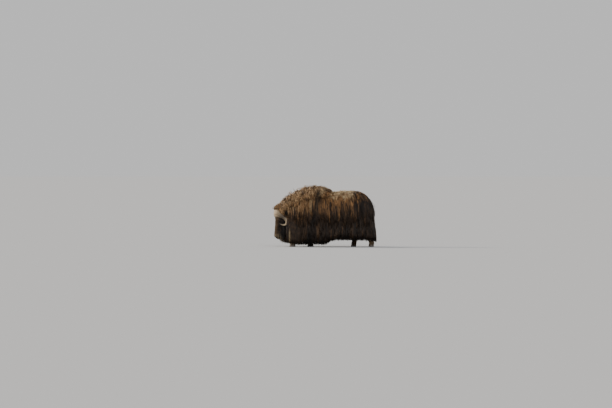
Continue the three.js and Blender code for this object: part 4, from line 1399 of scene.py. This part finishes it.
def build_horns(settings):
    material = horn_material(settings.colours)
    around, steps = 96, 240
    for name, side in SIDES:
        stations = HORN.copy()
        stations[:, :3] = on_head(mirrored(stations[:, :3], side))
        ridges = np.random.default_rng(HORN_SEED + side).uniform(0, 2 * math.pi, 7)
        shape = horn_relief(ridges)
        horn = tube("horn_plate_" + name, stations, around, steps, NOSEWARDS, material, shape)
        # both bosses stay clear of the groove between them
        local = head_local(vertices_of(horn.data))
        local[:, 1] = side * np.maximum(side * local[:, 1], HORN_GROOVE)
        horn.data.vertices.foreach_set("co", on_head(local).astype(np.float32).ravel())
        horn.data.update()
        share = np.repeat(np.linspace(0.0, 1.0, steps + 1), around)
        share = np.concatenate([[0.0], share, [1.0]])
        angle = ring_turns(around)
        streaks = np.sin(angle * 23 + 1.7 * np.sin(angle * 3) + 2.0 * np.sin(angle * 7))
        tone = np.concatenate([[0.5], np.tile(0.5 + 0.5 * streaks, steps + 1), [0.5]])
        # painted shade: the middle of the curl and the boss by the crown are darkened through the
        # brown mark
        brow = 0.7 * before(local[:, 0], 0.05, 0.05) * (share < 0.4)
        dark = np.clip(bump(share - 0.39, 0.13) + brow, 0, 1)
        set_marks(horn.data, np.zeros(len(share)), dark, tone, share)
        finish_piece(horn, "horn", "horn_" + name)


def toe_mesh(name, leg, side, material):
    """One toe of a hoof, flat underneath, upright in the cleft and rounded outside."""
    foot, fore = leg[1:]
    long, wide = HOOF[fore]
    height = np.concatenate([[0.0, 0.0015, 0.004], np.linspace(0.008, HOOF_HEIGHT, 22)])[:, None]
    angle = ring_turns(56)
    cosine, sine = np.cos(angle), np.sin(angle)
    ripple = 1.0 + 0.006 * np.sin(height * 620.0)
    scale_long = catmull(HOOF_LEVELS, 1, height) * ripple
    scale_wide = catmull(HOOF_LEVELS, 2, height) * ripple
    out = np.maximum(0.0, sine) ** 0.8 * (wide / 2 - HOOF_CLEFT) * scale_wide
    x = cosine * (long / 2) * scale_long * (1 - 0.16 * out / wide)
    inner = np.where(sine < 0, -sine * 0.003, 0.0)
    back = height / HOOF_HEIGHT * long * 0.07
    y = foot[1] + side * (HOOF_CLEFT - inner + out)
    rings = np.stack([foot[0] + x + back, y, height + 0.0 * x], axis=-1)
    middle = foot[1] + side * (HOOF_CLEFT + wide / 5)
    poles = ((foot[0], middle, 0.0), (foot[0] + long * 0.07, middle, HOOF_HEIGHT))
    return loft(name, rings, *poles, material)


def build_hooves(settings):
    material = hoof_material(settings.colours)
    for name, leg in LEGS.items():
        for toe, side in (("outer", 1), ("inner", -1)):
            side = side * math.copysign(1.0, leg[1][1])
            hoof = toe_mesh(f"toe_{name}_{toe}", leg, side, material)
            finish_piece(hoof, "hoof", f"hoof_{name}_{toe}")


def shared_hair(settings):
    return bpy.data.materials.get("coat_hair") or hair_material(settings.colours)


def build_long_coat(settings, names):
    """The areas of the long coat whose names start with one of the given names."""
    material = shared_hair(settings)
    skin_map = SkinMap()
    for area in AREAS:
        if area.name.startswith(names):
            long_coat(area, settings.sizes, material, skin_map)


# The shorter hair: tufts, the seed of their places and the seed of their waves
SHORT_HAIR = {
    "face_fur": (5600, 41, 42),
    "beard": (2000, 43, 44),
    "forelock": (1500, 45, 46),
    "ear_fur_left": (420, 51, 53),
    "ear_fur_right": (420, 52, 54),
    "leg_fur_fore_left": (1000, 61, 71),
    "leg_fur_fore_right": (1000, 62, 72),
    "leg_fur_hind_left": (1000, 63, 73),
    "leg_fur_hind_right": (1000, 64, 74),
    "tail_hair": (450, 81, 82),
}
HORN_SEED = 31
THROAT_SEED = 91


def sown(name, settings):
    """The random draws and the number of the tufts of one piece of shorter hair."""
    tufts, seed = SHORT_HAIR[name][:2]
    return np.random.default_rng(seed), int(tufts * settings.sizes.density)


def lying_tufts(name, settings, places, ways, length, width, stations, marks, slot, curl=0.0):
    """Tufts that lie along given ways and bend towards the ground as they go. places: the roots,
    normals and unwrap that SkinMap gives."""
    random = np.random.default_rng(SHORT_HAIR[name][2])
    roots, outs, uv = places
    count = len(roots)
    share = np.linspace(0.0, 1.0, stations)[None, :, None]
    long = length[:, None, None]
    way, out = unit(ways)[:, None], outs[:, None]
    rise = np.sin(share * 2.2) * 0.10 * long
    sag = share**2 * long * 0.25
    paths = roots[:, None] + share * long * way + rise * out - SHORT_SUNK * (1 - share) * out
    paths = paths + sag * DOWN
    if curl:
        group = random.integers(0, max(count // 9, 1), count)
        paths = waved(paths, outs, random, np.full(count, curl), 0.07, group)
    piece = tuft_object(name, shared_hair(settings), paths, outs, width, uv, marks)
    finish_piece(piece, slot)


def head_roots(random, count, s_range, angle_range, weight):
    """Places on both sides of the head, more of them where the weight is greater."""
    tries = count * 6
    s = random.uniform(*s_range, tries)
    angle = random.uniform(*angle_range, tries)
    angle = np.where(random.uniform(0, 1, tries) < 0.5, angle, math.pi - angle)
    local = head_surface(s, angle)
    chance = weight(local) + 1e-9
    keep = np.sort(random.choice(tries, count, replace=False, p=chance / chance.sum()))
    return local[keep]


def furred(local):
    """1 on furred skin, and 0 on the eyes, nostrils and the bare pad between them."""
    along, side, face = local[:, 0], np.abs(local[:, 1]), local[:, 2]
    eye = np.hypot((along - EYE[0]) / 0.034, (face - EYE[2]) / 0.040)
    nostril = np.hypot((along - 0.672) / 0.020, (face - 0.094) / 0.032)
    pad = (along > 0.668) & (side < 0.052) & (face > 0.02)
    return np.where(((eye < 1) & (side > 0.06)) | (nostril < 1) | pad, 0.0, 1.0)


def jaw(local):
    """1 on the cheeks, jaw and chin."""
    return before(local[:, 2], 0.02, 0.05) * furred(local)


def crown(local):
    """1 between and behind the horns."""
    return before(local[:, 0], 0.09, 0.04) * past(local[:, 2], -0.08, 0.05)


def grow_face_fur(settings, skin_map):
    """Short fur that lies down the face."""
    random, count = sown("face_fur", settings)
    local = head_roots(random, count, (0.10, 0.708), (-math.pi / 2, math.pi / 2), furred)
    places = skin_map.nearest(on_head(local))
    points, normals = places[:2]
    share = past(local[:, 0], 0.2, 0.4)
    length = (0.034 - 0.016 * share) * random.uniform(0.7, 1.3, count)
    ways = NOSEWARDS + random.normal(0, 0.16, (count, 3)) + 0.18 * normals
    ways = unit(ways - 0.75 * normals * np.sum(ways * normals, axis=-1, keepdims=True))
    pale, brown = markings(points)
    tone = 0.55 + (0.8 - 0.55 * share) * random.uniform(-0.5, 0.5, count)
    width = (0.0052 - 0.0012 * share) * random.uniform(0.8, 1.2, count)
    marks = (pale, brown, tone)
    lying_tufts("face_fur", settings, places, ways, length, width, 4, marks, "face_hair")


def grow_beard(settings, skin_map):
    """The long hair of the cheeks, jaw and chin."""
    random, count = sown("beard", settings)
    local = head_roots(random, count, (0.12, 0.66), (-math.pi / 2, 0.25), jaw)
    places = skin_map.nearest(on_head(local))
    points, normals = places[:2]
    share = np.clip((local[:, 0] - 0.12) / 0.54, 0, 1)
    length = (0.21 - 0.10 * share) * random.uniform(0.7, 1.15, count)
    ways = 0.9 * NOSEWARDS - 0.42 * FACEWARDS + 0.15 * normals
    ways = ways + random.normal(0, 0.10, (count, 3))
    pale, brown = markings(points)
    tone = random.uniform(0.0, 0.8, count)
    width = settings.sizes.tuft_width * random.uniform(0.5, 0.9, count)
    marks = (pale * 0.4, brown * 0.4, tone)
    lying_tufts("beard", settings, places, ways, length, width, 6, marks, "face_hair", 0.007)


def grow_forelock(settings, skin_map):
    """The tousled shock between and behind the horns."""
    random, count = sown("forelock", settings)
    local = head_roots(random, count, (0.002, 0.10), (-0.4, math.pi / 2), crown)
    places = skin_map.nearest(on_head(local))
    length = 0.125 * random.uniform(0.5, 1.2, count)
    ways = 0.30 * places[1] + 0.16 * FACEWARDS - 0.60 * NOSEWARDS
    ways = ways + random.normal(0, 0.22, (count, 3))
    pale = np.clip(random.normal(0.22, 0.12, count), 0, 1)
    brown = np.clip(random.normal(0.70, 0.2, count), 0, 1)
    tone = random.uniform(0.2, 1.0, count)
    width = settings.sizes.tuft_width * random.uniform(0.4, 0.8, count)
    marks = (pale, brown, tone)
    lying_tufts("forelock", settings, places, ways, length, width, 6, marks, "face_hair", 0.012)


def grow_ear_fur(settings, skin_map, side_name, side):
    """Short fur that lies towards the tip of an ear."""
    name = "ear_fur_" + side_name
    random, count = sown(name, settings)
    t = random.uniform(0.15, 0.98, count)
    spot = ear_line(t, side)
    spot = spot + random.uniform(-0.034, 0.034, (count, 1)) * NOSEWARDS
    spot = spot + random.choice([-0.03, 0.03], (count, 1)) * FACEWARDS
    places = skin_map.nearest(spot)
    length = random.uniform(0.024, 0.050, count)
    tipwards = unit(head_way(mirrored(EAR_WAY, side)))
    ways = 0.8 * tipwards + 0.2 * places[1] + 0.25 * DOWN + random.normal(0, 0.14, (count, 3))
    brown = np.clip(random.normal(0.30, 0.12, count), 0, 1)
    tone = random.uniform(0.1, 0.9, count)
    width = 0.0046 * random.uniform(0.7, 1.2, count)
    marks = (np.full(count, 0.05), brown, tone)
    lying_tufts(name, settings, places, ways, length, width, 4, marks, "face_hair")


def round_places(line, turn, wide, thick):
    """Places beside the points of a line, at turns round it."""
    aside = np.stack([wide * np.cos(turn), thick * np.sin(turn), 0.0 * turn], axis=-1)
    return line[:, :3] + aside


def grow_leg_fur(settings, skin_map, leg):
    """Fur that lies down a leg, long above the knee and short at the hoof."""
    name = "leg_fur_" + leg
    random, count = sown(name, settings)
    t = 1.0 - random.uniform(0.0, 0.62, count)
    line = spline(leg_stations(leg), t)
    turn = random.uniform(0, 2 * math.pi, count)
    places = skin_map.nearest(round_places(line, turn, line[:, 3], line[:, 4]))
    points, normals = places[:2]
    length = np.interp(t, (0.38, 0.7, 1.0), (0.10, 0.045, 0.032))
    length = length * random.uniform(0.7, 1.25, count)
    ways = DOWN + 0.22 * normals + random.normal(0, 0.10, (count, 3))
    room = points[:, 2] - LOWEST_LEG_TIP
    length = np.where(points[:, 2] - length < LOWEST_LEG_TIP, np.maximum(room, 0.004), length)
    pale = np.full(count, 0.14) * random.uniform(0.3, 1.5, count)
    brown = np.clip(random.normal(0.24, 0.12, count), 0, 1)
    tone = random.uniform(0.1, 0.9, count)
    width = 0.0065 * random.uniform(0.7, 1.2, count)
    marks = (pale, brown, tone)
    lying_tufts(name, settings, places, ways, length, width, 4, marks, "leg_hair")


def grow_tail_hair(settings, skin_map):
    random, count = sown("tail_hair", settings)
    t = random.uniform(0.15, 1.0, count)
    line = spline(TAIL, t)
    turn = random.uniform(0, 2 * math.pi, count)
    places = skin_map.nearest(round_places(line, turn, 0.02, line[:, 3]))
    length = 0.11 * random.uniform(0.6, 1.2, count)
    ways = DOWN + 0.16 * places[1] + random.normal(0, 0.08, (count, 3))
    tone = random.uniform(0.0, 0.8, count)
    width = settings.sizes.tuft_width * random.uniform(0.5, 0.9, count)
    marks = (np.zeros(count), np.full(count, 0.12), tone)
    lying_tufts("tail_hair", settings, places, ways, length, width, 5, marks, "coat", 0.004)


def build_face_hair(settings):
    skin_map = SkinMap()
    grow_face_fur(settings, skin_map)
    grow_beard(settings, skin_map)
    grow_forelock(settings, skin_map)
    for name, side in SIDES:
        grow_ear_fur(settings, skin_map, name, side)


def build_leg_hair(settings):
    skin_map = SkinMap()
    for leg in LEGS:
        grow_leg_fur(settings, skin_map, leg)
    grow_tail_hair(settings, skin_map)


def build_throat_hair(settings):
    """The long hair of the throat and brisket, which hangs between the two sides."""
    random = np.random.default_rng(THROAT_SEED)
    count = int(1700 * settings.sizes.density)
    locks = 140
    share = np.linspace(0.0, 1.0, 7)[None, :, None]

    def rooted(n):
        x = random.uniform(-0.90, -0.52, n)
        angle = random.uniform(math.radians(-90), math.radians(-38), n)
        root = trunk_point(x, angle)
        root[:, 1] *= random.choice([-1.0, 1.0], n)
        return root

    def fallen(root, spread):
        n = len(root)
        drop = root[:, 2] - hem_at(root[:, 0]) - 0.03 * random.uniform(0, 1, n)
        drop = drop * random.uniform(0.93, 1.0, n)
        aside = [spread * random.normal(0, 0.03, n) for _ in range(2)]
        path = root[:, None] + share * np.stack([*aside, -drop], axis=-1)[:, None]
        path[:, 0, 2] += LONG_SUNK
        return path

    guide_root = rooted(locks)
    guides = fallen(guide_root, 1.0)
    root = rooted(count)
    guide_of = nearest_guide(root, guide_root)
    paths = fallen(root, 0.5)
    paths = gathered(paths, root, guides, guide_of, random.uniform(0.5, 0.9, count))
    outs = unit(np.stack([-np.ones(count), 1.5 * np.sign(root[:, 1]), np.zeros(count)], axis=-1))
    group = guide_of * 4 + random.integers(0, 4, count)
    paths = waved(paths, outs, random, 0.009 * random.uniform(0.5, 1.3, count), 0.16, group)
    paths[..., 2] = np.maximum(paths[..., 2], LOWEST_TIP)
    lock_tone = 0.5 * random.uniform(0, 1, locks)[guide_of]
    tone = np.clip(lock_tone + 0.5 * random.uniform(0, 1, count), 0, 1)
    width = settings.sizes.tuft_width * random.uniform(0.7, 1.3, count)
    uv = SkinMap().nearest(root)[2]
    marks = (np.zeros(count), np.full(count, 0.1), tone)
    piece = tuft_object("coat_throat", shared_hair(settings), paths, outs, width, uv, marks)
    finish_piece(piece, "coat")


# Stage
def build_floor(settings):
    low, high = -FLOOR_HALF, FLOOR_HALF
    corners = [(low, low, 0.0), (high, low, 0.0), (high, high, 0.0), (low, high, 0.0)]
    floor = make_object("floor", corners, [(0, 1, 2, 3)], floor_material(settings.colours))


def build_light(scene):
    scene.world = bpy.data.worlds.new("studio")
    scene.world.use_nodes = True
    background = scene.world.node_tree.nodes["Background"]
    background.inputs["Color"].default_value = WORLD_COLOUR
    background.inputs["Strength"].default_value = WORLD_STRENGTH
    for name, way, energy, angle, colour in SUNS:
        data = bpy.data.lights.new(name, "SUN")
        data.energy = energy
        data.angle = math.radians(angle)
        data.color = colour
        lamp = bpy.data.objects.new(name, data)
        lamp.rotation_mode = "QUATERNION"
        lamp.rotation_quaternion = Vector(way).to_track_quat("-Z", "Y")
        scene.collection.objects.link(lamp)


def build_camera(scene, stage):
    camera = bpy.data.objects.new("camera", bpy.data.cameras.new("camera"))
    scene.collection.objects.link(camera)
    camera.data.sensor_width = SENSOR
    camera.data.lens = stage.lens
    camera.data.clip_start = NEAREST
    camera.data.clip_end = FARTHEST
    camera.location = stage.camera
    camera.rotation_euler = (math.radians(90.0) - stage.pitch, 0.0, 0.0)
    scene.camera = camera


# Settings
def colour_property(name, description, default):
    return FloatVectorProperty(
        name=name, description=description, default=default,
        subtype="COLOR", size=3, min=0.0, max=1.0,
    )


class MuskoxSizes(PropertyGroup):
    """Sizes that a user would change."""

    coat_length: FloatProperty(
        name="Coat length", description="Length of the long hair, as a share of the usual length",
        default=1.0, min=0.5, max=1.1, subtype="FACTOR",
    )
    tuft_width: FloatProperty(
        name="Tuft width", description="Width of one tuft of the long hair at its widest",
        default=0.0125, min=0.004, max=0.03, unit="LENGTH",
    )
    density: FloatProperty(
        name="Density", description="How many tufts grow, as a share of the usual number",
        default=1.0, min=0.1, max=1.05, subtype="FACTOR",
    )


class MuskoxColours(PropertyGroup):
    """Colours that a user would change."""

    dark: colour_property("Dark hair", "Near-black guard hair of the flanks", (0.014, 0.010, 0.008))
    brown: colour_property("Brown hair", "Golden brown hair of the crest", (0.33, 0.168, 0.066))
    pale: colour_property("Pale hair", "Cream hair of the saddle", (0.68, 0.50, 0.28))
    horn: colour_property("Horn", "Cream horn of the boss", (0.43, 0.335, 0.215))
    horn_streak: colour_property("Horn streaks", "Brown fibres in the boss", (0.15, 0.095, 0.052))
    # the colour of the horn tips is also the colour of the painted shade on the horn
    horn_tip_and_shade: colour_property("Horn tips", "Dark horn of the tips", (0.035, 0.026, 0.02))
    iris: colour_property("Iris", "Colour of the iris", (0.075, 0.035, 0.016))
    hoof: colour_property("Hoof", "Colour of the hooves", (0.035, 0.028, 0.023))
    floor: colour_property("Floor", "Colour of the plain floor", (0.420, 0.430, 0.444))


class MuskoxStage(PropertyGroup):
    """The camera's place and lens."""

    camera: FloatVectorProperty(
        name="Camera", description="Where the camera stands", subtype="TRANSLATION",
        size=3, default=(-0.417, -82.0, 1.63),
    )
    pitch: FloatProperty(
        name="Pitch", description="How far the camera looks below the horizon",
        default=math.radians(0.46), subtype="ANGLE",
    )
    lens: FloatProperty(
        name="Lens", description="Focal length in millimetres", default=211.6, min=20.0, max=600.0
    )


class MuskoxSettings(PropertyGroup):
    """All settings of the muskox."""

    sizes: PointerProperty(type=MuskoxSizes)
    colours: PointerProperty(type=MuskoxColours)
    stage: PointerProperty(type=MuskoxStage)


class MUSKOX_OT_skin(Operator):
    """Builds the one skin of the head, trunk, legs, ears and tail"""

    bl_idname = "muskox.skin"
    bl_label = "Build skin"

    def execute(self, context):
        build_skin(context.scene.muskox)
        return {"FINISHED"}


class MUSKOX_OT_eyes(Operator):
    """Builds both eyes"""

    bl_idname = "muskox.eyes"
    bl_label = "Build eyes"

    def execute(self, context):
        build_eyes(context.scene.muskox)
        return {"FINISHED"}


class MUSKOX_OT_horns(Operator):
    """Builds both horns"""

    bl_idname = "muskox.horns"
    bl_label = "Build horns"

    def execute(self, context):
        build_horns(context.scene.muskox)
        return {"FINISHED"}


class MUSKOX_OT_hooves(Operator):
    """Builds the two toes of each hoof"""

    bl_idname = "muskox.hooves"
    bl_label = "Build hooves"

    def execute(self, context):
        build_hooves(context.scene.muskox)
        return {"FINISHED"}


class MUSKOX_OT_crest(Operator):
    """Grows the coat of the nape, hump, saddle and croup"""

    bl_idname = "muskox.crest"
    bl_label = "Grow back"

    def execute(self, context):
        names = ("coat_hump", "coat_nape", "coat_saddle", "coat_croup")
        build_long_coat(context.scene.muskox, names)
        return {"FINISHED"}


class MUSKOX_OT_sides(Operator):
    """Grows the long coat of the mane, shoulders, flanks, thighs, rear and throat"""

    bl_idname = "muskox.sides"
    bl_label = "Grow sides"

    def execute(self, context):
        names = ("coat_mane", "coat_shoulder", "coat_flank", "coat_thigh", "coat_rear")
        build_long_coat(context.scene.muskox, names)
        build_throat_hair(context.scene.muskox)
        return {"FINISHED"}


class MUSKOX_OT_face(Operator):
    """Grows the fur of the face and ears, the beard and the forelock"""

    bl_idname = "muskox.face"
    bl_label = "Grow face fur"

    def execute(self, context):
        build_face_hair(context.scene.muskox)
        return {"FINISHED"}


class MUSKOX_OT_legs(Operator):
    """Grows the fur of the legs and the tail"""

    bl_idname = "muskox.legs"
    bl_label = "Grow leg fur"

    def execute(self, context):
        build_leg_hair(context.scene.muskox)
        return {"FINISHED"}


class MUSKOX_OT_stage(Operator):
    """Sets up the floor, light and camera"""

    bl_idname = "muskox.stage"
    bl_label = "Build stage"

    def execute(self, context):
        settings = context.scene.muskox
        build_floor(settings)
        build_light(context.scene)
        build_camera(context.scene, settings.stage)
        return {"FINISHED"}


OPERATORS = (
    MUSKOX_OT_skin,
    MUSKOX_OT_eyes,
    MUSKOX_OT_horns,
    MUSKOX_OT_hooves,
    MUSKOX_OT_crest,
    MUSKOX_OT_sides,
    MUSKOX_OT_face,
    MUSKOX_OT_legs,
    MUSKOX_OT_stage,
)


class MUSKOX_PT_panel(Panel):
    """Lists the settings and the steps that build the muskox"""

    bl_idname = "MUSKOX_PT_panel"
    bl_label = "Muskox"
    bl_space_type = "VIEW_3D"
    bl_region_type = "UI"
    bl_category = "Muskox"

    def draw(self, context):
        settings = context.scene.muskox
        for group in (settings.sizes, settings.colours, settings.stage):
            column = self.layout.column()
            for key in group.__annotations__:
                column.prop(group, key)
        for operator in OPERATORS:
            self.layout.operator(operator.bl_idname)


CLASSES = (MuskoxSizes, MuskoxColours, MuskoxStage, MuskoxSettings, *OPERATORS, MUSKOX_PT_panel)


def register():
    for item in CLASSES:
        bpy.utils.register_class(item)
    bpy.types.Scene.muskox = PointerProperty(type=MuskoxSettings)


def unregister():
    del bpy.types.Scene.muskox
    for item in reversed(CLASSES):
        bpy.utils.unregister_class(item)


def main():
    register()
    bpy.ops.muskox.skin()
    bpy.ops.muskox.eyes()
    bpy.ops.muskox.horns()
    bpy.ops.muskox.hooves()
    bpy.ops.muskox.crest()
    bpy.ops.muskox.sides()
    bpy.ops.muskox.face()
    bpy.ops.muskox.legs()
    bpy.ops.muskox.stage()
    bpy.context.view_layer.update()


if __name__ == "__main__":
    main()
